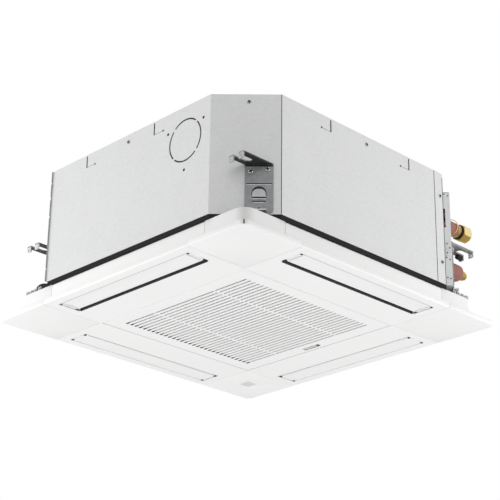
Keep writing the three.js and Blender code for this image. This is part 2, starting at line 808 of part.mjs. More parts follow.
// A three-footed bracket that carries the motor by its flange from the top plate's dish.
const footAt = (angle) => {
  const reach = motorRadius + 12;
  const post = cylinder(7, reach, 0, motorTopZ - 18 + clearance, dishZ - clearance, 8);
  return post.rotate([0, 0, angle]);
};
const motorRing = turned(
  [
    [motorRadius + 1, motorTopZ - 18 + clearance],
    [motorRadius + 16, motorTopZ - 18 + clearance],
    [motorRadius + 16, motorTopZ - 15],
    [motorRadius + 1, motorTopZ - 15],
    [motorRadius + 1, motorTopZ - 18 + clearance],
  ],
);
place("motor_bracket", "steel", motorRing.add(footAt(0)).add(footAt(120)).add(footAt(240)));

// Turbo fan: domed hub and back plate above, curved shroud below, swept blades between.
const backPlate = turned(
  [
    [shaftRadius + clearance, hubZ],
    [fanHubRadius, hubZ],
    [fanHubRadius + 14, fanTopZ - 18],
    [fanHubRadius + 30, fanTopZ - fanWall],
    [fanRadius, fanTopZ - fanWall],
    [fanRadius, fanTopZ],
    [fanHubRadius + 28, fanTopZ],
    [fanHubRadius + 11, fanTopZ - 17],
    [fanHubRadius - 3, hubZ + fanWall],
    [shaftRadius + clearance, hubZ + fanWall],
    [shaftRadius + clearance, hubZ],
  ],
);
const shroudLine = (offset) => [
  [fanInletRadius + offset, fanBottomZ],
  [fanInletRadius + offset, fanBottomZ + 8],
  [fanInletRadius + 5 + offset * 0.8, fanBottomZ + 18],
  [fanInletRadius + 18 + offset * 0.5, fanBottomZ + 29 - offset * 0.8],
  [fanRadius, fanBottomZ + 37 - offset],
];
const shroud = turned(
  [...shroudLine(0), ...shroudLine(fanWall).reverse(), shroudLine(0)[0]],
);
const bladeOutline = () => {
  const rootRadius = fanHubRadius + 26;
  const tipRadius = fanRadius - 1;
  const upper = [];
  const lower = [];
  for (let i = 0; i <= 4; i += 1) {
    const share = i / 4;
    const radius = rootRadius + (tipRadius - rootRadius) * share;
    const sweep = -0.62 * share ** 0.85;
    const half = (bladeThickness / 2) * (0.35 + 1.3 * Math.sin(Math.PI * Math.min(share + 0.12, 0.94)) * 0.6);
    const angle = half / radius;
    upper.push([radius * Math.cos(sweep + angle), radius * Math.sin(sweep + angle)]);
    lower.push([radius * Math.cos(sweep - angle), radius * Math.sin(sweep - angle)]);
  }
  return outline([...lower, ...upper.reverse()]);
};
const bladeRoom = turned(
  [
    [fanHubRadius + 10, fanBottomZ + 22],
    ...shroudLine(fanWall / 2).slice(1),
    [fanRadius, fanTopZ - fanWall / 2],
    [fanHubRadius + 24, fanTopZ - fanWall / 2],
    [fanHubRadius + 10, fanTopZ - 22],
    [fanHubRadius + 10, fanBottomZ + 22],
  ],
);
const blade = prism(bladeOutline(), fanBottomZ, fanTopZ).intersect(bladeRoom);
let turboFan = backPlate.add(shroud);
for (let i = 0; i < bladeCount; i += 1) {
  turboFan = turboFan.add(blade.rotate([0, 0, (360 / bladeCount) * i]));
}
place("turbo_fan", "fan", turboFan);
place("fan_shaft", "steel", cylinder(shaftRadius, 0, 0, hubZ - 14, motorBottomZ - clearance, 16));
const nutBottomZ = hubZ - 9;
place("fan_nut", "steel", cylinder(9, 0, 0, nutBottomZ, hubZ - clearance, 6)
  .subtract(cylinder(shaftRadius + clearance, 0, 0, nutBottomZ - 1, hubZ, 16)));

// Bell mouth: a square plate below the drain pan, curving up into the fan's shroud.
const mouthTopZ = fanBottomZ + mouthIntoFan;
const mouthPlateTopZ = panBottomZ - clearance;
const mouthDepth = mouthTopZ - mouthPlateTopZ;
const mouthLine = (offset) => [
  [mouthOuterRadius - offset, mouthPlateTopZ - mouthPlate + offset],
  [mouthOuterRadius - 12, mouthPlateTopZ - mouthPlate + mouthDepth * 0.14],
  [mouthOuterRadius - 25 + offset * 0.4, mouthPlateTopZ + mouthDepth * 0.38],
  [mouthRadius + 3 + offset, mouthPlateTopZ + mouthDepth * 0.7],
  [mouthRadius + offset, mouthTopZ],
];
const mouthCurve = turned(
  [
    ...mouthLine(0),
    [mouthRadius + mouthPlate, mouthTopZ],
    [mouthOuterRadius - 25 + mouthPlate, mouthPlateTopZ + mouthDepth * 0.38 + 1],
    [mouthOuterRadius - 11, mouthPlateTopZ + mouthDepth * 0.14 + 1],
    [mouthOuterRadius, mouthPlateTopZ],
    [mouthOuterRadius + 2, mouthPlateTopZ],
    [mouthOuterRadius + 2, mouthPlateTopZ - mouthPlate],
    mouthLine(0)[0],
  ],
);
place("bell_mouth", "white", prism(square(mouthHalf), mouthPlateTopZ - mouthPlate, mouthPlateTopZ)
  .subtract(cylinder(mouthOuterRadius + 1, 0, 0, faceZ, panTopZ, roundSteps))
  .add(mouthCurve));

// ---------------------------------------------------------------- drain pump and float switch
const pumpFootZ = gutterZ - gutterWellDepth + clearance;
const pumpTopZ = pumpFootZ + 88;
const pump = turned(
  [
    [0, pumpFootZ],
    [9, pumpFootZ],
    [9, pumpFootZ + 14],
    [pumpRadius - 6, pumpFootZ + 20],
    [pumpRadius, pumpFootZ + 46],
    [pumpRadius, pumpFootZ + 52],
    [pumpRadius - 6, pumpFootZ + 55],
    [pumpRadius - 6, pumpTopZ],
    [0, pumpTopZ],
  ],
).translate([pumpAt, pumpAt, 0]);
const pumpSpout = cylinderAlongY(6, pumpAt + 10, pumpAt + pumpRadius + 6, pumpAt, drainSpigotRise, 12);
place("drain_pump", "white", pump.add(pumpSpout));

const spigotStart = drainTip - drainSpigotLength;
const spigot = cylinderAlongY(drainSpigotRadius - 3, spigotStart, drainTip, drainSpigotAt, drainSpigotRise)
  .add(cylinderAlongY(drainSpigotRadius, drainTip - 30, drainTip - 10, drainSpigotAt, drainSpigotRise))
  .subtract(cylinderAlongY(drainSpigotRadius - 5, drainTip - 26, drainTip + 1, drainSpigotAt, drainSpigotRise));
place("drain_spigot", "rubber", spigot);
place("drain_hose", "rubber", bar(
  [
    [pumpAt, pumpAt + pumpRadius + 6 + clearance, drainSpigotRise],
    [pumpAt, pumpAt + pumpRadius + 14, drainSpigotRise],
    [(pumpAt + drainSpigotAt) / 2, pumpAt + pumpRadius + 26, drainSpigotRise],
    [drainSpigotAt, spigotStart - 8, drainSpigotRise],
    [drainSpigotAt, spigotStart - clearance, drainSpigotRise],
  ],
  7,
  8,
  6,
));

const stemFootZ = gutterZ - gutterWellDepth + clearance;
const floatFootZ = stemFootZ + 3 + clearance;
const floatLiftZ = floatFootZ + floatHeight + floatTravel;
place("float_switch_stem", "white", cylinder(floatRadius - 3, floatAcross, floatAlong, stemFootZ, stemFootZ + 3, 16)
  .add(cylinder(floatStem, floatAcross, floatAlong, stemFootZ, panTopZ + 30, 12))
  .add(cylinder(floatRadius, floatAcross, floatAlong, floatLiftZ + clearance, floatLiftZ + 6, 16)));
place("float_switch_float", "rubber", cylinder(floatRadius, floatAcross, floatAlong, floatFootZ, floatFootZ + floatHeight, 20)
  .subtract(cylinder(floatStem + runningGap, floatAcross, floatAlong, floatFootZ - 1, floatFootZ + floatHeight + 1, 12)));

// ---------------------------------------------------------------- refrigerant pipes
const pipeRun = (rise, radius, end, start) => {
  const path = [
    [start, coilEnd + tubePlate + 2 * clearance, rise],
    [start, coilEnd + 14, rise],
    [gasPipeAt - 7, coilEnd + 40, rise],
    [gasPipeAt - 1, coilEnd + 67, rise],
    [gasPipeAt, coilEnd + 84, rise],
    [gasPipeAt, end, rise],
  ];
  return bar(path, radius, 8, 10);
};
const hexAlongY = (flats, y0, y1, x, z) => {
  const radius = flats / Math.sqrt(3);
  return cylinderAlongY(radius, y0, y1, x, z, 6);
};
const unionStart = gasTip - 43;
const gasSleeveStart = unionStart - 27;
const liquidSleeveStart = liquidTip - 62;
const nutStart = gasTip - 32;
place("gas_pipe", "copper", pipeRun(gasPipeRise, gasTube, unionStart - 4 - clearance, coilInner + 14));
place("gas_pipe_sleeve", "sleeve", cylinderAlongY(gasSleeveRadius, gasSleeveStart, unionStart - clearance, gasPipeAt, gasPipeRise)
  .subtract(cylinderAlongY(gasTube + clearance, gasSleeveStart - 6, unionStart - 4, gasPipeAt, gasPipeRise)));
place("gas_pipe_union", "brass", cylinderAlongY(gasSleeveRadius - 1, unionStart, unionStart + 7, gasPipeAt, gasPipeRise)
  .add(cylinderAlongY(gasSleeveRadius - 3.5, unionStart, gasTip - 10, gasPipeAt, gasPipeRise)));
const flareChamfer = gasNutFlats * 0.565;
const nutRound = cylinderAlongY(flareChamfer, nutStart - 1, gasTip - 6, gasPipeAt, gasPipeRise);
const nutNose = solidOf(new THREE.CylinderGeometry(flareChamfer - 4, flareChamfer, 6, 16)
  .translate(gasPipeAt, gasTip - 3, gasPipeRise));
place("gas_flare_nut", "brass", hexAlongY(gasNutFlats, nutStart, gasTip, gasPipeAt, gasPipeRise)
  .intersect(nutRound.add(nutNose))
  .subtract(cylinderAlongY(gasSleeveRadius - 3.5 + clearance, nutStart - 1, gasTip - 9.5, gasPipeAt, gasPipeRise))
  .subtract(cylinderAlongY(gasTube, gasTip - 12, gasTip + 1, gasPipeAt, gasPipeRise)));

const liquidShoulder = liquidTip - 16;
place("liquid_pipe", "copper", pipeRun(liquidPipeRise, liquidTube, liquidShoulder - 8 - clearance, coilInner + 26));
const liquidSleeve = solidOf(new THREE.CylinderGeometry(
  liquidSleeveRadius - 5,
  liquidSleeveRadius,
  6,
  16,
).translate(gasPipeAt, liquidShoulder - 3, liquidPipeRise))
  .add(cylinderAlongY(liquidSleeveRadius, liquidSleeveStart, liquidShoulder - 6, gasPipeAt, liquidPipeRise));
place("liquid_pipe_sleeve", "sleeve", liquidSleeve
  .subtract(cylinderAlongY(liquidTube + clearance, liquidSleeveStart - 5, liquidShoulder - 8, gasPipeAt, liquidPipeRise))
  .subtract(cylinderAlongY(liquidUnionRadius - 2 + clearance, liquidShoulder - 8.3, liquidTip, gasPipeAt, liquidPipeRise)));
place("liquid_flare_union", "brass", cylinderAlongY(liquidUnionRadius - 2, liquidShoulder - 8, liquidTip, gasPipeAt, liquidPipeRise)
  .add(cylinderAlongY(liquidUnionRadius, liquidShoulder + clearance, liquidTip - 6, gasPipeAt, liquidPipeRise))
  .subtract(cylinderAlongY(3.2, liquidTip - 12, liquidTip + 1, gasPipeAt, liquidPipeRise, 12)));

// ---------------------------------------------------------------- control box in the intake
const boxTopZ = mouthPlateTopZ - mouthPlate - clearance;
const boxBottomZ = boxTopZ - boxHeight;
const boxY0 = boxAt - boxWidth / 2;
const boxY1 = boxAt + boxWidth / 2;
place("control_box", "galvanised", box(-boxLength / 2, boxLength / 2, boxY0, boxY1, boxBottomZ, boxTopZ)
  .subtract(box(
    boxSheet - boxLength / 2,
    boxLength / 2 - boxSheet,
    boxY0 + boxSheet,
    boxY1 - boxSheet,
    boxBottomZ - 1,
    boxTopZ - boxSheet,
  )));
place("control_box_cover", "galvanised", box(
  -boxLength / 2,
  boxLength / 2,
  boxY0,
  boxY1,
  boxBottomZ - clearance - boxSheet,
  boxBottomZ - clearance,
).add(box(
  clearance + boxSheet - boxLength / 2,
  boxLength / 2 - boxSheet - clearance,
  boxY0 + boxSheet + clearance,
  boxY1 - boxSheet - clearance,
  boxBottomZ - clearance - boxSheet / 2,
  boxBottomZ + 6,
)).subtract(box(
  clearance + 2 * boxSheet - boxLength / 2,
  boxLength / 2 - 2 * boxSheet - clearance,
  boxY0 + 2 * boxSheet + clearance,
  boxY1 - 2 * boxSheet - clearance,
  boxBottomZ - clearance,
  boxBottomZ + 7,
)));
const boardZ = boxTopZ - boxSheet - clearance;
let circuitBoard = box(-20, boxLength / 2 - 10, boxY0 + 6, boxY1 - 6, boardZ - 6, boardZ - 4);
for (const [x, y, width, drop] of [[0, -6, 22, 14], [38, 4, 16, 17], [70, -5, 26, 9], [104, 5, 18, 12]]) {
  circuitBoard = circuitBoard.add(box(x, x + width, boxAt + y - 8, boxAt + y + 8, boardZ - 6 - drop, boardZ - 5));
}
for (const x of [-12, boxLength / 2 - 18]) {
  circuitBoard = circuitBoard.add(cylinder(3, x, boxAt, boardZ - 5, boardZ, 12));
}
place("circuit_board", "board", circuitBoard);
let terminalBlock = box(-boxLength / 2 + 14, -40, boxAt - 12, boxAt + 12, boardZ - 14, boardZ);
for (let i = 0; i < 7; i += 1) {
  const x = -boxLength / 2 + 22 + i * 12;
  terminalBlock = terminalBlock.subtract(box(x, x + 8, boxAt - 9, boxAt + 9, boardZ - 15, boardZ - 8));
}
place("terminal_block", "white", terminalBlock);

// ---------------------------------------------------------------- panel
const gasketLeg = casingChamfer - 1;
const gasketOuter = cutSquare(casingHalf - gasketOverhang, gasketLeg);
const gasketInner = cutSquare(
  casingHalf - gasketOverhang - gasketWidth,
  gasketLeg - gasketWidth * (2 - Math.SQRT2),
);
place("foam_gasket", "gasket", prism(outline(gasketOuter), skirtTopZ + clearance, casingBottomZ - clearance)
  .subtract(prism(outline(gasketInner), skirtTopZ, casingBottomZ)));

// The moulding's outside, from its face up over the sloping flange and the skirt.
const panelRing = (half, radius, z) => ({ points: roundedSquare(half, radius, 3), z });
const panelOutside = loft([
  panelRing(panelHalf - 2, panelCornerRadius - 2, faceZ),
  panelRing(panelHalf, panelCornerRadius, faceZ + 2.5),
  panelRing(panelHalf - 0.5, panelCornerRadius, ceilingZ - flangeBack),
  panelRing(skirtHalf + 2, skirtCornerRadius, ceilingZ),
  panelRing(skirtHalf, skirtCornerRadius, ceilingZ + 2),
  panelRing(skirtHalf, skirtCornerRadius, skirtTopZ - 2),
  panelRing(skirtHalf - 1.5, skirtCornerRadius - 1, skirtTopZ),
]);
const panelInside = loft([
  panelRing(panelHalf - 4 - mouldingWall, panelCornerRadius, faceZ + mouldingWall),
  panelRing(panelHalf - 4 - mouldingWall, panelCornerRadius, ceilingZ - flangeBack - mouldingWall),
  panelRing(skirtHalf - mouldingWall, skirtCornerRadius - mouldingWall, ceilingZ - mouldingWall / 2),
  panelRing(skirtHalf - mouldingWall, skirtCornerRadius - mouldingWall, skirtTopZ + 1),
]);
const panelShell = panelOutside.subtract(panelInside);

const openingHalf = grilleHalf + grilleGap;
const openingWall = prism(square(openingHalf + mouldingWall), faceZ, skirtTopZ - 6);
const openingHole = prism(square(openingHalf), faceZ - 1, skirtTopZ + 1);
// The outlet's walls lean in above the flange, so that the duct stays inside the skirt.
const ductAt = (outer, wall, z) => ({
  points: [
    [-outletOpeningHalf - wall, -outer - wall],
    [outletOpeningHalf + wall, -outer - wall],
    [outletOpeningHalf + wall, wall - outletOpeningInner],
    [-outletOpeningHalf - wall, wall - outletOpeningInner],
  ],
  z,
});
const ductOuter = outletInner + outletWidth + 2;
const ductHole = loft([
  ductAt(outletOpeningOuter, 0, faceZ - 1),
  ductAt(outletOpeningOuter, 0, faceZ + 4),
  ductAt(ductOuter, 0, ceilingZ - 1),
  ductAt(ductOuter, 0, skirtTopZ + 1),
]);
const ductWall = loft([
  ductAt(outletOpeningOuter, mouldingWall, faceZ + 0.5),
  ductAt(outletOpeningOuter, mouldingWall, faceZ + 4),
  ductAt(ductOuter, mouldingWall, ceilingZ - 1),
  ductAt(ductOuter, mouldingWall, skirtTopZ - 0.5),
]).intersect(panelOutside);
const ledgeBottomZ = skirtTopZ - ledgeDepth;
const ledgeOuter = prism(outline(cutSquareInside(casingHalf - skirtHalf + 0.5)), ledgeBottomZ, skirtTopZ)
  .intersect(panelOutside);
const cutInner = casingHalf - gasketOverhang - gasketWidth;
const ledgeInner = prism(
  outline(cutSquare(cutInner, gasketLeg - gasketWidth * (2 - Math.SQRT2))),
  ceilingZ,
  skirtTopZ + 1,
);

const pivotBore = cylinderAlongX(
  vanePin + runningGap,
  -outletOpeningHalf - mouldingWall - 1,
  outletOpeningHalf + mouldingWall + 1,
  -vanePivotAt,
  vanePivotZ,
  8,
);
const cornerZone = (gap) => {
  const beyond = panelHalf + 20;
  const low = box(
    cornerSeamAt - gap,
    beyond,
    cornerSeamAt - gap,
    beyond,
    faceZ - 5,
    ceilingZ + 2,
  );
  const high = box(skirtSeamAt - gap, beyond, skirtSeamAt - gap, beyond, ceilingZ + 1, skirtTopZ + 1);
  return low.add(high);
};
// In the corners the ledge keeps inside the covers' skirt.
const insideSkirt = prism(square(skirtHalf - mouldingWall - clearance), faceZ - 5, skirtTopZ + 5);
const ledge = ledgeOuter
  .subtract(ledgeInner)
  .subtract(allAround(cornerZone(seamGap).subtract(insideSkirt)));
const hingeBore = cylinderAlongX(
  grillePin + runningGap,
  -openingHalf - mouldingWall - 1,
  openingHalf + mouldingWall + 1,
  -hingeAt,
  hingeZ,
  8,
);
const catchWindow = box(
  -latchTongueHalf - 1,
  latchTongueHalf + 1,
  openingHalf - 1,
  openingHalf + mouldingWall + 1,
  faceZ + grillePlate + clearance - 0.3,
  faceZ + grillePlate + clearance + latchThickness + 0.6,
);
place("panel_frame", "white", panelShell
  .subtract(allAround(cornerZone(seamGap)))
  .add(openingWall)
  .add(allAround(ductWall))
  .add(ledge)
  .subtract(openingHole)
  .subtract(allAround(ductHole))
  .subtract(allAround(pivotBore))
  .subtract(hingeBore)
  .subtract(catchWindow));

// The four corner covers: flange, face and skirt, with a boss up to the frame's diagonal ledge.
const bossAlong = 2 * cutInner - gasketLeg + cornerBossRadius + 0.5 - cornerBossAt;
const cornerSlotAt = Math.SQRT2 * (panelHalf - panelCornerRadius) - 1.4;
const cornerCover = panelShell
  .intersect(cornerZone(0))
  .add(cylinder(cornerBossRadius, cornerBossAt, bossAlong, faceZ + 1, ledgeBottomZ - clearance, 8))
  .add(cylinder(cornerBossRadius, bossAlong, cornerBossAt, faceZ + 1, ledgeBottomZ - clearance, 8))
  .subtract(box(
    cornerSlotAt,
    cornerSlotAt + casingChamfer,
    -cornerSlotWidth / 2,
    cornerSlotWidth / 2,
    faceZ + 1.2,
    ceilingZ - flangeBack,
  ).rotate([0, 0, 45]));
const receiverHole = box(
  receiverAt - receiverHalf,
  receiverAt + receiverHalf,
  receiverAt - receiverHalf,
  receiverAt + receiverHalf,
  faceZ - 1,
  faceZ + mouldingWall + 1,
);
place("corner_cover_back_right", "white", cornerCover);
place("corner_cover_back_left", "white", quarterTurn(cornerCover.subtract(receiverHole), 1));
place("corner_cover_front_left", "white", quarterTurn(cornerCover, 2));
place("corner_cover_front_right", "white", quarterTurn(cornerCover, 3));
const windowHalf = receiverHalf - clearance;
const receiver = box(
  receiverAt - windowHalf,
  receiverAt + windowHalf,
  receiverAt - windowHalf,
  receiverAt + windowHalf,
  faceZ + 0.2,
  faceZ + mouldingWall + clearance + 2,
).add(box(
  receiverAt - windowHalf - 3,
  receiverAt + windowHalf + 3,
  receiverAt - windowHalf - 3,
  receiverAt + windowHalf + 3,
  faceZ + mouldingWall + clearance,
  faceZ + mouldingWall + clearance + 2,
));
place("receiver_window", "window", quarterTurn(receiver, 1));

// ---------------------------------------------------------------- air vanes
const vaneOuter = outletOpeningOuter - vaneEdgeGap;
const vaneInner = outletOpeningInner + vaneInnerGap;
const vaneEnd = outletOpeningHalf - vaneEndGap;
const vaneProfile = () => {
  const below = [];
  const above = [];
  for (let i = 0; i <= 4; i += 1) {
    const share = i / 4;
    const y = -vaneOuter + (vaneOuter - vaneInner) * share;
    const rise = vaneHollow * Math.sin(Math.PI * share) ** 2;
    const round = i % 4 === 0 ? 0.9 : 0;
    below.push([y, faceZ + rise + round]);
    above.push([y, faceZ + rise + vaneThickness - round * 0.7]);
  }
  return outline([...below, ...above.reverse()]);
};
const alongX = (shape, x0, x1) => prism(shape, x0, x1).rotate([90, 0, 90]);
const vaneArmShape = outline([
  [-vaneOuter + 8, faceZ + vaneThickness - 1],
  [-vaneInner - 2, faceZ + vaneThickness - 1],
  [-vanePivotAt + 4.2, vanePivotZ - 1],
  [-vanePivotAt + 3.2, vanePivotZ + 3.2],
  [-vanePivotAt - 3.2, vanePivotZ + 3.2],
  [-vanePivotAt - 8, vanePivotZ],
]);
const vanePinReach = outletOpeningHalf + mouldingWall - clearance;
const vane = alongX(vaneProfile(), -vaneEnd, vaneEnd)
  .add(alongX(vaneArmShape, -vaneEnd, vaneArm - vaneEnd))
  .add(alongX(vaneArmShape, vaneEnd - vaneArm, vaneEnd))
  .add(cylinderAlongX(vanePin, -vanePinReach, vaneArm - vaneEnd, -vanePivotAt, vanePivotZ, 8))
  .add(cylinderAlongX(vanePin, vaneEnd - vaneArm, vanePinReach, -vanePivotAt, vanePivotZ, 8));
const motorFaceX = outletOpeningHalf + mouldingWall + clearance;
const vaneMotor = cylinderAlongX(
  vaneMotorRadius,
  motorFaceX,
  motorFaceX + vaneMotorDepth,
  -vanePivotAt,
  vanePivotZ + vaneMotorOffset,
  12,
).add(box(
  motorFaceX,
  motorFaceX + 1.5,
  -vanePivotAt - vaneMotorRadius - 5,
  -vanePivotAt + vaneMotorRadius + 5,
  vanePivotZ + vaneMotorOffset - 4,
  vanePivotZ + vaneMotorOffset + 4,
));
sides.forEach((side, quarter) => {
  place(`air_vane_${side}`, "vane", quarterTurn(vane, quarter));
  place(`vane_motor_${side}`, "motor", quarterTurn(vaneMotor, quarter));
});

// ---------------------------------------------------------------- intake grille
// A plate slotted right through, in rows between cross bars, with a thin fin behind each slat.
const fieldHalf = ((slatCount + 1) * slatPitch - slatWidth) / 2;
const slotRows = [
  [-grilleFieldHalf, -grilleRibAt - grilleRibWidth / 2],
  [grilleRibWidth / 2 - grilleRibAt, grilleRibAt - grilleRibWidth / 2],
  [grilleRibAt + grilleRibWidth / 2, grilleFieldHalf],
];
const grilleSlots = [];
for (let i = 0; i <= slatCount; i += 1) {
  const y = i * slatPitch - fieldHalf;
  for (const [x0, x1] of slotRows) {
    grilleSlots.push(box(x0, x1, y, y + slatPitch - slatWidth, faceZ - 1, faceZ + grillePlate + 1));
  }
}
let grille = box(-grilleHalf, grilleHalf, -hingeAt, grilleHalf, faceZ, faceZ + grillePlate)
  .subtract(wasm.Manifold.union(grilleSlots));
const fin = box(
  -grilleFieldHalf,
  grilleFieldHalf,
  -slatFin / 2,
  slatFin / 2,
  faceZ + grillePlate / 2,
  faceZ + slatHeight,
);
for (let i = 0; i < slatCount; i += 1) {
  grille = grille.add(fin.translate([0, (i - (slatCount - 1) / 2) * slatPitch, 0]));
}
const sideWall = box(
  grilleHalf - grilleWall,
  grilleHalf,
  -hingeAt,
  grilleHalf,
  faceZ + 0.5,
  faceZ + grilleWallHeight,
);
const backWall = box(
  -grilleHalf,
  grilleHalf,
  grilleHalf - grilleWall,
  grilleHalf,
  faceZ + 0.5,
  faceZ + grilleWallHeight,
);
const slotStart = latchSlotAt - latchSlotWidth / 2;
const slotEnd = latchSlotAt + latchSlotWidth / 2;
const latchSlot = box(-latchSlotLength / 2, latchSlotLength / 2, slotStart, slotEnd, faceZ - 1, faceZ + 4);
const tongueGap = box(
  -latchTongueHalf - 0.5,
  latchTongueHalf + 0.5,
  slotEnd,
  grilleHalf + 1,
  faceZ + grillePlate,
  faceZ + grillePlate + clearance + latchThickness + 0.5,
);
const latchGuide = (x) => box(x - 1, x + 1, slotStart - 3, slotEnd + 3, faceZ + 1, faceZ + 6.5);
place("intake_grille", "white", grille
  .add(sideWall)
  .add(sideWall.translate([grilleWall - 2 * grilleHalf, 0, 0]))
  .add(backWall)
  .add(cylinderAlongX(grilleEdgeRadius, -grilleHalf, grilleHalf, -hingeAt, hingeZ, 20))
  .add(cylinderAlongX(
    grillePin,
    -grilleHalf - grillePinLength,
    grilleHalf + grillePinLength,
    -hingeAt,
    hingeZ,
    12,
  ))
  .subtract(latchSlot)
  .subtract(tongueGap)
  .add(latchGuide(-latchSlotLength / 2 - 3))
  .add(latchGuide(latchSlotLength / 2 + 3)));

// The sliding latch: a knob in the slot, a slide behind the plate and a tongue into the frame.
const latchZ = faceZ + grillePlate + clearance;
place("grille_latch", "white", box(
  clearance - latchSlotLength / 2,
  latchSlotLength / 2 - 5,
  slotStart + latchTravel + clearance,
  slotEnd - clearance,
  faceZ + 0.6,
  latchZ + latchThickness,
).add(box(
  -latchSlotLength / 2 - 1.5,
  latchSlotLength / 2 + 1.5,
  slotStart + latchTravel + clearance,
  slotEnd + 1.5,
  latchZ,
  latchZ + latchThickness,
)).add(box(
  -latchTongueHalf,
  latchTongueHalf,
  slotEnd,
  openingHalf + latchTongueReach,
  latchZ,
  latchZ + latchThickness,
)));

// The air filter's frame and bars, which lie on the fins behind the grille.
const filterZ = faceZ + slatHeight + clearance;
let filter = prism(square(filterHalf), filterZ, filterZ + filterHeight)
  .subtract(prism(square(filterHalf - filterBar), filterZ - 1, filterZ + filterHeight + 1));
const filterRibReach = filterHalf - filterBar / 2;
for (const at of [-filterRibAt, filterRibAt]) {
  const ribAt = (low) => box(
    at - filterRib / 2,
    at + filterRib / 2,
    -filterRibReach,
    filterRibReach,
    low,
    low + filterHeight / 2,
  );
  filter = filter.add(ribAt(filterZ + 0.5)).add(quarterTurn(ribAt(filterZ + 1), 1));
}
place("air_filter", "mesh", filter);

export default unit;
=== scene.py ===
"""Ceiling cassette air conditioner: finishes, smooth mouldings and fittings over the frame."""

import json
import math
from collections import namedtuple
from types import SimpleNamespace

import bmesh
import bpy
from mathutils import Matrix, Vector


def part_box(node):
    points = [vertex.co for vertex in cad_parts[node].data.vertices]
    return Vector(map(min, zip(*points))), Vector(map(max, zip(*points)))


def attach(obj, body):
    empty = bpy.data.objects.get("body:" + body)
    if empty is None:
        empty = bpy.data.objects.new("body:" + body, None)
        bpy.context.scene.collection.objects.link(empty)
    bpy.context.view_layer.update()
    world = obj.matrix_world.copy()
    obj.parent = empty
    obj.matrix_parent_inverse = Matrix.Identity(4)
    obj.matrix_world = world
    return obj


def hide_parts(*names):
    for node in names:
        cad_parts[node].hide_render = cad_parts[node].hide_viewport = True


bl_info = {
    "name": "Ceiling Cassette Air Conditioner",
    "version": (1, 0, 0),
    "blender": (4, 5, 0),
    "location": "View3D > Sidebar > Cassette",
    "description": "Dresses the packed ceiling cassette with finishes, mouldings and fittings",
    "category": "Object",
}

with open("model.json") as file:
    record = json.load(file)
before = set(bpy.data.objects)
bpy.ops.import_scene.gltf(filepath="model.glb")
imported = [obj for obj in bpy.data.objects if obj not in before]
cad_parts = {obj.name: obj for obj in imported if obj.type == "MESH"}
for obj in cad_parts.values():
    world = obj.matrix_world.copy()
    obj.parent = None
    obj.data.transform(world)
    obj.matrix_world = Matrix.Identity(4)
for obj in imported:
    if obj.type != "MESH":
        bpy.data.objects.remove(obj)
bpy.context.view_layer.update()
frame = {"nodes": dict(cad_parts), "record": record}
MM = 0.001


Point = namedtuple("Point", "x y z")


def box_of(node):
    """A node's lowest and highest corners, in millimetres."""
    return [Point(*(value / MM for value in corner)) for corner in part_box(node)]


def middle_of(low, high):
    return Point(*((first + second) / 2 for first, second in zip(low, high)))


def metres(values):
    return Vector([value * MM for value in values])


# -------- sizes in millimetres
casing_low, casing_high = box_of("casing_shell")
cover_low, cover_high = box_of("corner_cover_back_right")
nut_low, nut_high = box_of("gas_flare_nut")
liquid_low, liquid_high = box_of("liquid_flare_union")
spigot_low, spigot_high = box_of("drain_spigot")
window_low, window_high = box_of("receiver_window")
CASING_HALF = casing_high.x
CASING_TOP = casing_high.z
PANEL_HALF = cover_high.x
FACE_Z = cover_low.z
SKIRT_TOP = cover_high.z
SEAM_AT = cover_low.x
CHAMFER_LEG = 82
CHAMFER_MIDDLE = CASING_HALF - CHAMFER_LEG / 2
BRACKET_MIDDLE = 21.6
BRACKET_TIP = CASING_HALF - 12.5
QUARTER = math.pi / 2
DIAGONAL = math.sqrt(2)
MIRROR_X = Matrix.Scale(-1, 4, (1, 0, 0))
MIRROR_Y = Matrix.Scale(-1, 4, (0, 1, 0))
OUT_BACK = (0, 1, 0)
STAND_OFF = 13
TRAY_HALF = 48
BRACKET_HALF = 23
BRACKET_BACK = 0.3
BRACKET_SHEET = 2.3
CORNERS = {"back_right": 0, "back_left": 1, "front_left": 2, "front_right": 3}


# -------- what a user would change
def length(name, description, size):
    """A length setting; its size is in millimetres."""
    return bpy.props.FloatProperty(
        name=name, description=description, default=size * MM, unit="LENGTH"
    )


def tint(name, description, value):
    """A colour setting."""
    return bpy.props.FloatVectorProperty(
        name=name, description=description, subtype="COLOR", default=value, min=0, max=1
    )


def angle(name, description, degrees):
    """An angle setting."""
    return bpy.props.FloatProperty(
        name=name, description=description, default=math.radians(degrees), subtype="ANGLE"
    )


def number(name, description, value):
    """A plain setting that is never negative."""
    return bpy.props.FloatProperty(name=name, description=description, default=value, min=0)


class CoverSizes(bpy.types.PropertyGroup):
    """Sizes of the smooth corner covers"""

    flange_radius: length("Flange radius", "Rounding of the panel's outer corner", 12)
    skirt_radius: length("Skirt radius", "Rounding of the skirt's corner", 22)
    flange_depth: length("Flange depth", "Height of the flange below the ceiling", 12)
    flange_back: length("Flange back", "Fall of the flange's back from skirt to edge", 3)
    wall: length("Wall", "Thickness of the moulding", 2.5)
    slot_width: length("Corner slot", "Width of the upright slot in the flange's corner", 2.2)


class ScrewSizes(bpy.types.PropertyGroup):
    """Sizes of the screw heads"""

    bracket_head: length("Bracket screw head", "Radius of the screw heads on the brackets", 4.6)
    sheet_head: length("Sheet screw head", "Radius of the small screw heads in the sheets", 3.4)


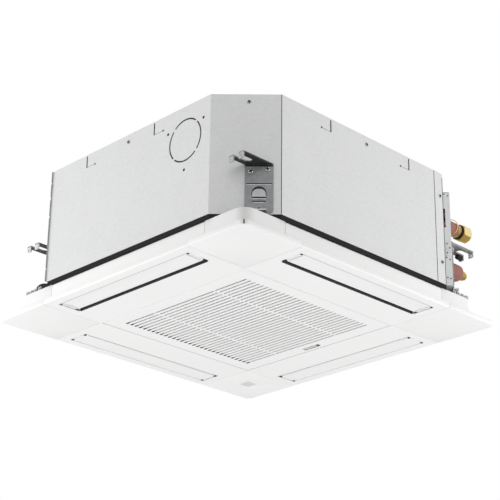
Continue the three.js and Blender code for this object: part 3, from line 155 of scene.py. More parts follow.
class FinishColours(bpy.types.PropertyGroup):
    """Colours of the finishes"""

    moulding: tint("White moulding", "Panel, covers and grille", (0.92, 0.92, 0.915))
    sheet_metal: tint("Galvanised sheet", "Casing sheets", (0.765, 0.768, 0.77))
    bracket_metal: tint("Bracket strip", "Sheet of the hanger brackets", (0.30, 0.31, 0.315))
    brass: tint("Brass", "Pipe unions and nut", (0.60, 0.38, 0.10))
    insulation: tint("Pipe insulation", "Sleeves over the pipes", (0.37, 0.165, 0.13))
    black_foam: tint("Black foam", "Strip between casing and panel", (0.011, 0.011, 0.012))


class StageSettings(bpy.types.PropertyGroup):
    """Camera, lamps and floor"""

    camera_place: bpy.props.FloatVectorProperty(
        name="Camera place",
        description="Where the camera stands",
        subtype="TRANSLATION",
        default=(1.8159, -1.7671, -1.0808),
    )
    azimuth: angle("Azimuth", "Camera's bearing round the unit, from -Y towards +X", 45.68)
    elevation: angle("Elevation", "Camera's height angle; it looks up from below", -23.134)
    roll: angle("Roll", "Camera's turn about its own axis", 0.724)
    lens: number("Lens", "Focal length in millimetres on a 36 mm sensor", 110.02)
    floor_depth: length("Floor", "Depth of the floor below the hanger arms", 3200)
    ambient: number("Ambient", "Level of the even light all round", 0.56)
    side_power: number("Side lamps", "Power of the soft lamps left and right, in watts", 13)
    low_power: number("Low lamp", "Power of the soft lamp below, in watts", 33)


# -------- modelling helpers
def clear_selection():
    """Leaves edit mode and selects nothing."""
    if bpy.context.object and bpy.context.object.mode != "OBJECT":
        bpy.ops.object.mode_set(mode="OBJECT")
    bpy.ops.object.select_all(action="DESELECT")


def make_active(piece):
    clear_selection()
    piece.select_set(True)
    bpy.context.view_layer.objects.active = piece


def settle(piece):
    """Moves the piece's place, turn and size into its mesh."""
    make_active(piece)
    bpy.ops.object.transform_apply(location=True, rotation=True, scale=True)
    return piece


def added(name):
    """Names the primitive just added and settles it."""
    piece = bpy.context.object
    piece.name = name
    piece.data.name = name
    return settle(piece)


def block(name, low, high):
    """A cube primitive that fills the box between two corners."""
    clear_selection()
    low, high = metres(low), metres(high)
    bpy.ops.mesh.primitive_cube_add(size=1, location=(low + high) / 2, scale=high - low)
    return added(name)


def rod(name, radius, start, end, sides=24):
    """A cylinder primitive between two points."""
    clear_selection()
    start, end = metres(start), metres(end)
    turn = (end - start).to_track_quat("Z", "Y").to_euler()
    bpy.ops.mesh.primitive_cylinder_add(
        vertices=sides,
        radius=radius * MM,
        depth=(end - start).length,
        location=(start + end) / 2,
        rotation=turn,
    )
    return added(name)


def choose(piece, kind, test):
    """Selects, in edit mode, the faces or edges whose middle and direction pass the test."""
    make_active(piece)
    bpy.ops.object.mode_set(mode="EDIT")
    bpy.ops.mesh.select_mode(type=kind)
    bpy.ops.mesh.select_all(action="DESELECT")
    mesh = bmesh.from_edit_mesh(piece.data)
    for part in mesh.faces if kind == "FACE" else mesh.edges:
        if kind == "FACE":
            passes = test(part.calc_center_median() / MM, part.normal)
        else:
            first, second = (vertex.co for vertex in part.verts)
            passes = test((first + second) / 2 / MM, (second - first).normalized())
        if passes:
            part.select_set(True)
    mesh.select_flush_mode()
    bmesh.update_edit_mesh(piece.data)


def along_x(middle, along):
    return abs(along.x) > 0.9


def along_y(middle, along):
    return abs(along.y) > 0.9


def along_z(middle, along):
    return abs(along.z) > 0.9


def round_edges(piece, test, width, segments):
    choose(piece, "EDGE", test)
    bpy.ops.mesh.bevel(offset=width * MM, segments=segments, affect="EDGES")
    bpy.ops.object.mode_set(mode="OBJECT")


def with_modifier(piece, kind, **settings):
    """Adds a modifier with these settings and applies it."""
    make_active(piece)
    modifier = piece.modifiers.new(kind.title(), kind)
    for name, value in settings.items():
        setattr(modifier, name, value)
    bpy.ops.object.modifier_apply(modifier=modifier.name)
    return piece


def combined(piece, other, operation):
    """Joins, cuts or intersects two solids and removes the second one."""
    with_modifier(piece, "BOOLEAN", operation=operation, object=other, solver="EXACT")
    bpy.data.objects.remove(other)
    return piece


def softened(piece, width):
    return with_modifier(
        piece,
        "BEVEL",
        width=width * MM,
        segments=2,
        limit_method="ANGLE",
        angle_limit=math.radians(35),
    )


def turned(name, profile, place, axis, sides=48):
    """A filled circle, extruded and scaled once for each (height, radius) of the profile."""
    clear_selection()
    height, radius = profile[0]
    bpy.ops.mesh.primitive_circle_add(
        vertices=sides, radius=radius * MM, fill_type="NGON", location=(0, 0, height * MM)
    )
    piece = added(name)
    bpy.ops.object.mode_set(mode="EDIT")
    bpy.ops.mesh.select_mode(type="FACE")
    bpy.ops.mesh.select_all(action="SELECT")
    for next_height, next_radius in profile[1:]:
        rise = (0, 0, (next_height - height) * MM)
        bpy.ops.mesh.extrude_region_move(TRANSFORM_OT_translate={"value": rise})
        scale = next_radius / radius
        middle = (0, 0, next_height * MM)
        bpy.ops.transform.resize(value=(scale, scale, 1), center_override=middle)
        height, radius = next_height, next_radius
    bpy.ops.object.mode_set(mode="OBJECT")
    faced_outward(piece)
    turn = Vector(axis).to_track_quat("Z", "Y").to_matrix().to_4x4()
    piece.matrix_world = moved(*place) @ turn
    return settle(piece)


def faced_outward(piece):
    """Recalculates a piece's normals."""
    make_active(piece)
    bpy.ops.object.mode_set(mode="EDIT")
    bpy.ops.mesh.select_all(action="SELECT")
    bpy.ops.mesh.normals_make_consistent(inside=False)
    bpy.ops.object.mode_set(mode="OBJECT")
    return piece


def moved(x, y, z):
    """A shift in millimetres, as a matrix."""
    return Matrix.Translation(metres((x, y, z)))


def copied(piece, name, matrix):
    """A copy with its own mesh, moved and turned by a matrix."""
    make_active(piece)
    bpy.ops.object.duplicate(linked=False)
    twin = bpy.context.object
    twin.name = name
    twin.data.name = name
    twin.matrix_world = matrix
    return settle(twin)


def mirrored(piece, name, matrix):
    """A copy turned over by a mirroring matrix, with its faces outward again."""
    return faced_outward(copied(piece, name, matrix))


def row_of(piece, count, step):
    """Repeats a piece in a straight row."""
    return with_modifier(
        piece,
        "ARRAY",
        count=count,
        use_relative_offset=False,
        use_constant_offset=True,
        constant_offset_displace=metres(step),
    )


def painted(piece, finish, test):
    """Gives a second finish to the faces whose middle and direction pass the test."""
    piece.data.materials.append(bpy.data.materials[finish])
    index = len(piece.data.materials) - 1
    for face in piece.data.polygons:
        if test(face.center / MM, face.normal):
            face.material_index = index


def joined(name, pieces):
    clear_selection()
    for piece in pieces:
        piece.select_set(True)
    bpy.context.view_layer.objects.active = pieces[0]
    if pieces[1:]:
        bpy.ops.object.join()
    pieces[0].name = name
    pieces[0].data.name = name
    return pieces[0]


def coated(piece, finish):
    """Gives a piece one material."""
    piece.data.materials.clear()
    piece.data.materials.append(bpy.data.materials[finish])


def dressed(piece, finish, body="unit", stands_for=(), smooth=30):
    """Coats a piece and finishes it."""
    coated(piece, finish)
    return finished(piece, body, stands_for, smooth)


def finished(piece, body="unit", stands_for=(), smooth=30):
    """Gives a piece its shading and body, and hides the nodes it stands for."""
    make_active(piece)
    bpy.ops.object.shade_smooth_by_angle(angle=math.radians(smooth))
    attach(piece, body)
    if stands_for:
        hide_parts(*stands_for)
    return piece


def quarter_turns(count):
    return Matrix.Rotation(count * QUARTER, 4, "Z")


def removed(*pieces):
    """Deletes patterns whose copies are made."""
    for piece in pieces:
        bpy.data.objects.remove(piece)


def in_millimetres(group):
    """A property group's sizes, in millimetres."""
    sizes = {name: getattr(group, name) / MM for name in group.__annotations__}
    return SimpleNamespace(**sizes)


# -------- node helpers
def feed(tree, made, inputs):
    """Each input is a value or the socket that feeds it."""
    for key, value in inputs.items():
        if isinstance(value, bpy.types.NodeSocket):
            tree.links.new(value, made.inputs[key])
        else:
            made.inputs[key].default_value = value
    return made


def put(tree, kind, inputs=None, **settings):
    """Adds a node with these settings and inputs."""
    made = tree.nodes.new(kind)
    for name, value in settings.items():
        setattr(made, name, value)
    return feed(tree, made, inputs or {})


def put_group(tree, name, inputs):
    made = tree.nodes.new("ShaderNodeGroup")
    made.node_tree = bpy.data.node_groups[name]
    return feed(tree, made, inputs)


def mixed(tree, mask, first, second):
    """Two colours mixed by a mask that varies over the surface."""
    made = put(tree, "ShaderNodeMix", {0: mask, 6: (*first, 1), 7: (*second, 1)}, data_type="RGBA")
    return made.outputs[2]


def between(tree, mask, low, high):
    """A number from low to high by a mask that varies over the surface."""
    made = put(tree, "ShaderNodeMapRange", {"Value": mask, "To Min": low, "To Max": high})
    return made.outputs["Result"]


def new_group(name, inputs, outputs):
    tree = bpy.data.node_groups.new(name, "ShaderNodeTree")
    for label, kind, value in inputs:
        socket = tree.interface.new_socket(
            name=label, in_out="INPUT", socket_type="NodeSocket" + kind
        )
        if value is not None:
            socket.default_value = value
    for label, kind in outputs:
        tree.interface.new_socket(name=label, in_out="OUTPUT", socket_type="NodeSocket" + kind)
    return tree, tree.nodes.new("NodeGroupInput"), tree.nodes.new("NodeGroupOutput")


def new_material(name, **constants):
    """A Principled material; the constants go on the shader's own sockets."""
    material = bpy.data.materials.new(name)
    material.use_nodes = True
    tree = material.node_tree
    shader = tree.nodes["Principled BSDF"]
    for socket, value in constants.items():
        shader.inputs[socket.replace("_", " ").title()].default_value = value
    place = put(tree, "ShaderNodeTexCoord").outputs["Object"]
    return tree, shader, place


def darker(colour, share):
    return tuple(channel * share for channel in colour)


# -------- shared surface effects
def soft_edges_group():
    """Rounded look and a mask along every sharp edge, for edges rubbed bright and a painted
    highlight.
    """
    tree, given, result = new_group(
        "soft_edges", [("Radius", "Float", 0.0006)], [("Normal", "Vector"), ("Wear_and_highlight", "Float")]
    )
    bevel = put(tree, "ShaderNodeBevel", {"Radius": given.outputs["Radius"]}, samples=6)
    flat = put(tree, "ShaderNodeNewGeometry")
    alike = put(
        tree,
        "ShaderNodeVectorMath",
        {0: bevel.outputs["Normal"], 1: flat.outputs["True Normal"]},
        operation="DOT_PRODUCT",
    )
    wear_and_highlight = put(
        tree,
        "ShaderNodeMapRange",
        {"Value": alike.outputs["Value"], "From Min": 1.0, "From Max": 0.85},
    )
    feed(tree, result, {"Normal": bevel.outputs["Normal"], "Wear_and_highlight": wear_and_highlight.outputs["Result"]})


def effect_group(name, label, value):
    """A group that turns a vector and one number into a shade and a height."""
    return new_group(
        name,
        [("Vector", "Vector", None), (label, "Float", value)],
        [("Shade", "Float"), ("Height", "Float")],
    )


def spangle_group():
    """Zinc crystals: soft-edged cells of slightly different tone, under a fine mottle."""
    tree, given, result = effect_group("spangle", "Cells", 90.0)
    place = given.outputs["Vector"]
    crystals = put(
        tree,
        "ShaderNodeTexVoronoi",
        {"Vector": place, "Scale": given.outputs["Cells"], "Smoothness": 0.35},
        feature="SMOOTH_F1",
    )
    tone = put(tree, "ShaderNodeSeparateColor", {0: crystals.outputs["Color"]})
    mottle = put(tree, "ShaderNodeTexNoise", {"Vector": place, "Scale": 26.0, "Detail": 5.0})
    shade = put(
        tree,
        "ShaderNodeMath",
        {0: tone.outputs["Red"], 1: mottle.outputs["Fac"]},
        operation="MULTIPLY",
    )
    feed(tree, result, {"Shade": shade.outputs[0], "Height": crystals.outputs["Distance"]})


def grain_group():
    """Fine moulding or casting grain with a slow drift in tone."""
    tree, given, result = effect_group("grain", "Grains", 1400.0)
    place, grains = given.outputs["Vector"], given.outputs["Grains"]
    fine = put(tree, "ShaderNodeTexNoise", {"Vector": place, "Scale": grains, "Detail": 3.0})
    drift = put(tree, "ShaderNodeTexNoise", {"Vector": place, "Scale": 7.0, "Detail": 2.0})
    feed(tree, result, {"Shade": drift.outputs["Fac"], "Height": fine.outputs["Fac"]})


def drawn_group():
    """Long rolling or drawing marks along the stretched axis of the vector."""
    tree, given, result = effect_group("drawn_marks", "Lines", 300.0)
    place, scale = given.outputs["Vector"], given.outputs["Lines"]
    settings = {"Vector": place, "Scale": scale, "Detail": 4.0, "Roughness": 0.65}
    lines = put(tree, "ShaderNodeTexNoise", settings).outputs["Fac"]
    limits = {"Value": lines, "From Min": 0.3, "From Max": 0.7}
    contrast = put(tree, "ShaderNodeMapRange", limits)
    feed(tree, result, {"Shade": contrast.outputs["Result"], "Height": lines})


def cells_group():
    """Closed foam cells or beads."""
    tree, given, result = effect_group("foam_cells", "Cells", 500.0)
    scale = given.outputs["Cells"]
    beads = put(tree, "ShaderNodeTexVoronoi", {"Vector": given.outputs["Vector"], "Scale": scale})
    depth = beads.outputs["Distance"]
    feed(tree, result, {"Shade": depth, "Height": depth})


def surfaced(tree, shader, effect, tone, rough, relief, strength, under=None):
    """Joins tone, gloss and relief to a shader, over the softened edges where given."""
    gloss = between(tree, effect.outputs["Shade"], *rough)
    feed(tree, shader, {"Base Color": tone, "Roughness": gloss})
    inputs = {"Height": effect.outputs["Height"], "Distance": relief, "Strength": strength}
    if under:
        inputs["Normal"] = under.outputs["Normal"]
    bump = put(tree, "ShaderNodeBump", inputs)
    feed(tree, shader, {"Normal": bump.outputs["Normal"]})


# -------- finishes
def metal_finish(name, colour, edge, metallic, rough, cells, depth=0.72, relief=0.00004):
    """Zinc-coated sheet: crystals in tone and gloss, brighter along its edges, rubbed and with a
    painted highlight.
    """
    tree, shader, place = new_material(name, metallic=metallic)
    spangle = put_group(tree, "spangle", {"Vector": place, "Cells": cells})
    edges = put_group(tree, "soft_edges", {"Radius": 0.0006})
    tone = mixed(tree, spangle.outputs["Shade"], colour, darker(colour, depth))
    # Edge colour along every sharp edge: rubbed metal and a painted highlight.
    wear_and_highlight = {0: edges.outputs["Wear_and_highlight"], 6: tone, 7: (*edge, 1)}
    rubbed_and_highlit = put(tree, "ShaderNodeMix", wear_and_highlight, data_type="RGBA").outputs[2]
    surfaced(tree, shader, spangle, rubbed_and_highlit, rough, relief, 0.3, edges)


def moulding_finish(name, colour, rough, grains=1400.0, relief=0.00003, radius=0.0008):
    """Injection moulding: fine grain, a slow drift in tone and softened edges."""
    tree, shader, place = new_material(name)
    grain = put_group(tree, "grain", {"Vector": place, "Grains": grains})
    edges = put_group(tree, "soft_edges", {"Radius": radius})
    tone = mixed(tree, grain.outputs["Shade"], colour, darker(colour, 0.975))
    surfaced(tree, shader, grain, tone, rough, relief, 0.25, edges)


def foam_finish(name, colour, cells, relief, rough=(0.85, 0.95)):
    """Foam: cells in tone and relief, fully matt."""
    tree, shader, place = new_material(name)
    foam = put_group(tree, "foam_cells", {"Vector": place, "Cells": cells})
    tone = mixed(tree, foam.outputs["Shade"], darker(colour, 0.8), colour)
    surfaced(tree, shader, foam, tone, rough, relief, 0.6)


def drawn_finish(name, colour, metallic, rough, stretch, lines=300.0, relief=0.00002):
    """Drawn, rolled or turned metal with marks across the stretched axes."""
    tree, shader, place = new_material(name, metallic=metallic)
    mapping = put(tree, "ShaderNodeMapping", {"Vector": place, "Scale": stretch})
    inputs = {"Vector": mapping.outputs["Vector"], "Lines": lines}
    drawn = put_group(tree, "drawn_marks", inputs)
    edges = put_group(tree, "soft_edges", {"Radius": 0.0004})
    tone = mixed(tree, drawn.outputs["Shade"], colour, darker(colour, 0.8))
    surfaced(tree, shader, drawn, tone, rough, relief, 0.3, edges)


def make_finishes(colours):
    """One material for every slot of the record, and for the finishes that only the scene has."""
    for plain in list(bpy.data.materials):
        bpy.data.materials.remove(plain)
    sheet = tuple(colours.sheet_metal)
    strip = tuple(colours.bracket_metal)
    white = tuple(colours.moulding)
    brass = tuple(colours.brass)
    # Copies of the bracket sheet in other tones: a dark one for painted shade, a mid grey one for
    # painted light, also used for the clips, and a pale one for painted highlights.
    dark, shaded = darker(strip, 0.12), darker(strip, 0.5)
    tongue, tab = (0.5, 0.51, 0.515), (0.74, 0.75, 0.755)
    metal_finish("galvanised", sheet, (0.88,) * 3, 0.3, (0.42, 0.5), 330.0, 0.9)
    metal_finish("bracket", strip, (0.6,) * 3, 0.5, (0.38, 0.5), 160.0)
    metal_finish("bracket_shade", dark, shaded, 0.2, (0.5, 0.6), 160.0)
    metal_finish("bracket_midgrey_and_painted_light", tongue, (0.7,) * 3, 0.5, (0.36, 0.46), 160.0)
    metal_finish("bracket_painted_highlight", tab, (0.88,) * 3, 0.4, (0.3, 0.42), 160.0)
    metal_finish("steel", (0.42, 0.43, 0.44), (0.7,) * 3, 0.9, (0.3, 0.4), 240.0)
    metal_finish("screw", (0.62, 0.63, 0.64), (0.85,) * 3, 1.0, (0.16, 0.26), 300.0)
    moulding_finish("white", white, (0.38, 0.46))
    moulding_finish("vane", darker(white, 0.985), (0.34, 0.42))
    moulding_finish("window", (0.68, 0.685, 0.69), (0.3, 0.38))
    moulding_finish("fan", (0.03, 0.032, 0.034), (0.42, 0.5))
    moulding_finish("rubber", (0.014, 0.014, 0.015), (0.6, 0.72), 900.0, 0.00005)
    moulding_finish("mesh", (0.42, 0.43, 0.435), (0.5, 0.6))
    moulding_finish("board", (0.03, 0.14, 0.05), (0.4, 0.5), 500.0)
    foam_finish("foam", (0.82, 0.82, 0.80), 260.0, 0.0003)
    foam_finish("charcoal_foam", (0.018, 0.018, 0.02), 420.0, 0.0002)
    foam_finish("gasket", tuple(colours.black_foam), 700.0, 0.0002)
    foam_finish("sleeve", tuple(colours.insulation), 900.0, 0.0002, (0.62, 0.78))
    drawn_finish("aluminium", (0.62, 0.64, 0.65), 0.9, (0.32, 0.42), (9, 9, 0.3))
    drawn_finish("copper", (0.62, 0.28, 0.17), 1.0, (0.24, 0.34), (1, 0.1, 1))
    drawn_finish("brass", brass, 1.0, (0.2, 0.34), (0.15, 3, 0.15), 500.0)
    # Pale brass: a painted highlight.
    drawn_finish("brass_painted_highlight", (0.93, 0.78, 0.42), 1.0, (0.14, 0.24), (0.15, 3, 0.15), 500.0)
    drawn_finish("motor", (0.38, 0.39, 0.40), 0.7, (0.36, 0.48), (1, 1, 6))


SCENE_FINISH = {"foam_lining": "charcoal_foam"}


def finish_nodes():
    for part in frame["record"]["subparts"]:
        node = frame["nodes"][part["node"]]
        finish = SCENE_FINISH.get(part["node"], part["material_slot"])
        coated(node, finish)


# -------- stage
def pale_floor(depth):
    clear_selection()
    bpy.ops.mesh.primitive_plane_add(size=16, location=(0, 0, -depth))
    floor = added("floor")
    tree, shader, place = new_material("pale_floor", roughness=0.8)
    grain = put_group(tree, "grain", {"Vector": place, "Grains": 60.0})
    tone = mixed(tree, grain.outputs["Shade"], (0.86, 0.86, 0.86), (0.82, 0.82, 0.82))
    tree.links.new(tone, shader.inputs["Base Color"])
    glow = put(tree, "ShaderNodeEmission", {"Color": tone})
    seen = seen_directly(tree)
    half = put(tree, "ShaderNodeMath", {0: seen, 1: 0.5}, operation="MULTIPLY")
    both = put(
        tree, "ShaderNodeMixShader", {0: half.outputs[0], 1: shader.outputs[0], 2: glow.outputs[0]}
    )
    tree.links.new(both.outputs[0], tree.nodes["Material Output"].inputs["Surface"])
    floor.data.materials.append(bpy.data.materials["pale_floor"])


def seen_directly(tree):
    """1 for rays from the camera and for those mirrored or let through by the object."""
    path = put(tree, "ShaderNodeLightPath").outputs
    either = path["Is Camera Ray"]
    for ray in ("Is Glossy Ray", "Is Transmission Ray"):
        either = put(
            tree, "ShaderNodeMath", {0: either, 1: path[ray]}, operation="MAXIMUM"
        ).outputs[0]
    return either


def studio_world(ambient):
    world = bpy.data.worlds.new("studio")
    bpy.context.scene.world = world
    world.use_nodes = True
    tree = world.node_tree
    tree.nodes.clear()
    white = put(tree, "ShaderNodeBackground", {"Color": (1, 1, 1, 1), "Strength": 1.0})
    even = put(tree, "ShaderNodeBackground", {"Color": (1, 1, 1, 1), "Strength": ambient})
    both = put(
        tree,
        "ShaderNodeMixShader",
        {0: seen_directly(tree), 1: even.outputs[0], 2: white.outputs[0]},
    )
    output = put(tree, "ShaderNodeOutputWorld")
    tree.links.new(both.outputs[0], output.inputs["Surface"])


def soft_lamp(name, place, aim, size, power):
    lamp = bpy.data.lights.new(name, "AREA")
    lamp.shape = "SQUARE"
    lamp.size = size
    lamp.energy = power
    holder = bpy.data.objects.new(name, lamp)
    bpy.context.scene.collection.objects.link(holder)
    holder.location = place
    holder.rotation_euler = (Vector(aim) - Vector(place)).to_track_quat("-Z", "Y").to_euler()
    holder.visible_camera = False
    holder.visible_glossy = False


def photo_camera(stage):
    back = Vector(
        (
            math.sin(stage.azimuth) * math.cos(stage.elevation),
            -math.cos(stage.azimuth) * math.cos(stage.elevation),
            math.sin(stage.elevation),
        )
    )
    level = Vector((0, 0, 1)).cross(back).normalized()
    upward = back.cross(level)
    right = math.cos(stage.roll) * level + math.sin(stage.roll) * upward
    up = math.cos(stage.roll) * upward - math.sin(stage.roll) * level
    lens = bpy.data.cameras.new("photo_camera")
    lens.lens = stage.lens
    lens.sensor_width = 36
    lens.clip_start = 0.05
    camera = bpy.data.objects.new("photo_camera", lens)
    bpy.context.scene.collection.objects.link(camera)
    turn = Matrix((right, up, back)).transposed().to_4x4()
    camera.matrix_world = Matrix.Translation(stage.camera_place) @ turn
    bpy.context.scene.camera = camera


# -------- corner covers
def rounded_block(name, seam, half, low, high, radius):
    """A block over a corner's quarter, rounded at its outer upright edge."""
    piece = block(name, (seam, seam, low), (half, half, high))

    def at_corner(middle, along):
        return along_z(middle, along) and min(middle.x, middle.y) > half - 0.1

    round_edges(piece, at_corner, radius, 12)
    return piece


def corner_shell(sizes):
    """The back right cover: flange and skirt in one hollow moulding."""
    ceiling = FACE_Z + sizes.flange_depth
    edge_top = ceiling - sizes.flange_back
    skirt_half = CASING_HALF - 3
    skirt_seam = 195
    flange, skirt, wall = sizes.flange_radius, sizes.skirt_radius, sizes.wall
    cover = rounded_block("corner_cover", SEAM_AT, PANEL_HALF, FACE_Z, edge_top, flange)

    def at_face(middle, along):
        low = abs(along.z) < 0.1 and middle.z < FACE_Z + 0.1
        outer = max(middle.x, middle.y) > SEAM_AT + 5
        return low and outer and middle.x + middle.y > PANEL_HALF + SEAM_AT + 5

    round_edges(cover, at_face, 2, 4)
    choose(cover, "FACE", lambda middle, normal: normal.z > 0.9)
    rise = (0, 0, sizes.flange_back * MM)
    bpy.ops.mesh.extrude_region_move(TRANSFORM_OT_translate={"value": rise})
    shrink = PANEL_HALF - skirt_half - 2
    scale = (PANEL_HALF - shrink - SEAM_AT) / (PANEL_HALF - SEAM_AT)
    corner = metres((SEAM_AT, SEAM_AT, 0))
    bpy.ops.transform.resize(value=(scale, scale, 1), center_override=corner)
    bpy.ops.object.mode_set(mode="OBJECT")
    upper = rounded_block("skirt", skirt_seam, skirt_half, ceiling - 1, SKIRT_TOP, skirt)
    combined(cover, upper, "UNION")
    past = 8
    near, floor = SEAM_AT - past, FACE_Z + wall
    hollow = rounded_block(
        "hollow", near, PANEL_HALF - wall, floor, edge_top - wall, flange - wall
    )
    skirt_hollow = rounded_block(
        "skirt_hollow", near, skirt_half - wall, floor + 0.1, SKIRT_TOP + past, skirt - wall
    )
    combined(cover, combined(hollow, skirt_hollow, "UNION"), "DIFFERENCE")
    return cover


def add_cover_details(cover, sizes):
    """Bosses up to the ledge and the slot in the flange's corner."""
    boss_far = CASING_HALF - 24.5
    boss_near = 198
    ledge = SKIRT_TOP - 18.3
    for x, y in ((boss_far, boss_near), (boss_near, boss_far)):
        boss = rod("boss", 5, (x, y, FACE_Z + 1), (x, y, ledge))
        combined(cover, boss, "UNION")
    reach = DIAGONAL * (PANEL_HALF - sizes.flange_radius) - 1.4
    slot = block(
        "slot",
        (reach, -sizes.slot_width / 2, FACE_Z + 1.2),
        (reach + 40, sizes.slot_width / 2, FACE_Z + sizes.flange_depth - 3),
    )
    slot.matrix_world = quarter_turns(0.5)
    settle(slot)
    combined(cover, slot, "DIFFERENCE")


def make_corner_covers(sizes):
    cover = corner_shell(sizes)
    add_cover_details(cover, sizes)
    middle = middle_of(window_low, window_high)
    hole_half = 12
    for corner, turns in CORNERS.items():
        twin = copied(cover, "smooth_cover_" + corner, quarter_turns(turns))
        if corner == "back_left":
            hole = block(
                "hole",
                (middle.x - hole_half, middle.y - hole_half, FACE_Z - 1),
                (middle.x + hole_half, middle.y + hole_half, FACE_Z + 5),
            )
            combined(twin, hole, "DIFFERENCE")
        softened(twin, 0.4)
        dressed(twin, "white", stands_for=["corner_cover_" + corner])
    removed(cover)


# -------- screws
def screw_head(radius, height, cross=0.7):
    """A pan head, head up with its seat at the origin, and a deep cross recess with painted shade.
    """
    head = turned(
        "screw_head",
        [
            (-0.3 * height, radius * 0.96), (0.25 * height, radius),
            (0.62 * height, radius * 0.94), (0.88 * height, radius * 0.78),
            (height, radius * 0.5),
        ],
        (0, 0, 0),
        (0, 0, 1),
        20,
    )
    long, narrow = radius * cross, radius * cross * 0.36
    for x, y in ((long, narrow), (narrow, long)):
        recess = block("recess", (-x, -y, height * 0.3), (x, y, height * 1.5))
        combined(head, recess, "DIFFERENCE")
    coated(head, "screw")
    # The recess's walls and floor are painted black: painted shade.
    painted(
        head,
        "rubber",
        lambda middle, normal: middle.z > height * 0.25
        and max(abs(middle.x), abs(middle.y)) < long * 1.02
        and (abs(normal.z) < 0.1 or middle.z < height * 0.45),
    )
    return head


def set_screws(name, head, places):
    """Copies of one screw head at each (point, outward direction, twist), joined as one piece."""
    copies = []
    for point, outward, twist in places:
        turn = Vector(outward).to_track_quat("Z", "Y").to_matrix().to_4x4()
        matrix = moved(*point) @ turn @ Matrix.Rotation(twist, 4, "Z")
        copies.append(copied(head, name, matrix))
    return joined(name, copies)


def on_chamfer(turns, across, rise, off):
    """A point on a cut corner's sheet; turns counts quarter turns from the front right corner."""
    outward = Vector((1, -1, 0)).normalized()
    sideways = Vector((1, 1, 0)).normalized()
    middle = Vector((CHAMFER_MIDDLE, -CHAMFER_MIDDLE, rise))
    return quarter_turns(turns) @ (middle + outward * off + sideways * across)


def make_screws(sizes):
    small = screw_head(sizes.sheet_head, 1.8, 0.86)
    front, right = Vector((0, -1, 0)), Vector((1, 0, 0))
    rim = CASING_TOP - 14.4
    face = CASING_HALF - 0.2
    places = [
        (Vector((0.6, -face, rim)), front, 0.3), (Vector((face, 0.6, rim - 1)), right, 0.9),
        (Vector((face, 197, 82)), right, 0.5), (Vector((face, 196, -46)), right, 1.2),
        (Vector((0.6, face, rim)), -front, 0.7), (Vector((-face, 0.6, rim)), -right, 0.2),
    ]
    for turns in range(4):
        if turns == 1:
            continue
        outward = quarter_turns(turns) @ Vector((1, -1, 0)).normalized()
        places.append((on_chamfer(turns, 4.3, rim + 0.6, -0.2), outward, 0.4))
    finished(set_screws("casing_screws", small, places))
    removed(small)

    large = screw_head(sizes.bracket_head, 3)
    plate = 2.4
    standing = {0: plate, 1: plate + STAND_OFF, 2: plate, 3: plate}
    places = []
    for turns, off in standing.items():
        outward = quarter_turns(turns) @ Vector((1, -1, 0)).normalized()
        flip = 1 if turns % 2 == 0 else -1
        for across, rise, twist in ((8, -13, 0.5), (35, -9, 0.2)):
            places.append((on_chamfer(turns, flip * across, rise, off), outward, twist))
    finished(set_screws("bracket_screws", large, places))
    removed(large)


# -------- hanger brackets
def at_chamfer(piece, off=0.0):
    """Moves a piece modelled along X, outward along -Y, onto the front right cut corner."""
    place = moved(CHAMFER_MIDDLE, -CHAMFER_MIDDLE, 0)
    piece.matrix_world = place @ quarter_turns(0.5) @ moved(0, -off, 0)
    return settle(piece)


def bracket_plate(off):
    """The upright half, with its groove, arched window and turned-out foot."""
    middle, back, sheet = BRACKET_MIDDLE, BRACKET_BACK, BRACKET_SHEET
    low, high = middle - BRACKET_HALF, middle + BRACKET_HALF
    half, foot, arch = 12, -84, -50.5
    plate = block("plate", (low, -back - sheet, foot), (high, -back, sheet))
    round_edges(plate, lambda at, along: along_y(at, along) and at.z < foot + 1, 6, 6)
    lip = block("lip", (middle - half, -12, foot), (middle + half, -back, sheet + foot))
    combined(plate, lip, "UNION")
    window = rod("window", half, (middle, -6, arch), (middle, 1, arch), 40)
    sill = block("sill", (middle - half, -6, arch - 5), (middle + half, 1, arch))
    combined(plate, combined(window, sill, "UNION"), "DIFFERENCE")
    groove = block("groove", (low + 2, -4, -34.8), (high - 2, -back - sheet + 1, -33))
    combined(plate, groove, "DIFFERENCE")
    return at_chamfer(plate, off)


def bracket_arm(off, tip):
    """The forked arm along -Y with a tab turned down at each tip."""
    back, sheet = BRACKET_BACK, BRACKET_SHEET
    lean = (BRACKET_MIDDLE - BRACKET_HALF) / DIAGONAL
    near = CHAMFER_MIDDLE + lean + (back + off) / DIAGONAL
    far = near + 2 * BRACKET_HALF / DIAGONAL
    slot = (near + far) / 2
    slot_end = BRACKET_TIP + off - 26
    arm = block("arm", (near, -tip, 0), (far, -180, sheet))
    inside = block("inside", (-90, -back - sheet / 2, -9), (90, 90, 9))
    combined(arm, at_chamfer(inside, off), "DIFFERENCE")
    tabs = block("tabs", (near, -tip, -9.5), (far, sheet - tip, sheet))
    round_edges(tabs, lambda middle, along: along_y(middle, along) and middle.z < -9, 2.5, 4)
    combined(arm, tabs, "UNION")
    half = 6
    fork = block("fork", (slot - half, -tip - 1, -20), (slot + half, -slot_end - half, 9))
    end = rod("end", half, (slot, -slot_end - half, -9), (slot, -slot_end - half, 9), 32)
    combined(arm, combined(fork, end, "UNION"), "DIFFERENCE")
    hole = rod("hole", 1.6, (far - 4, -tip - 1, -5.5), (far - 4, 5 - tip, -5.5))
    combined(arm, hole, "DIFFERENCE")
    pin_hole = rod("pin_hole", 1.5, (slot - 1, -slot_end + 7, -9), (slot - 1, -slot_end + 7, 9))
    return combined(arm, pin_hole, "DIFFERENCE")


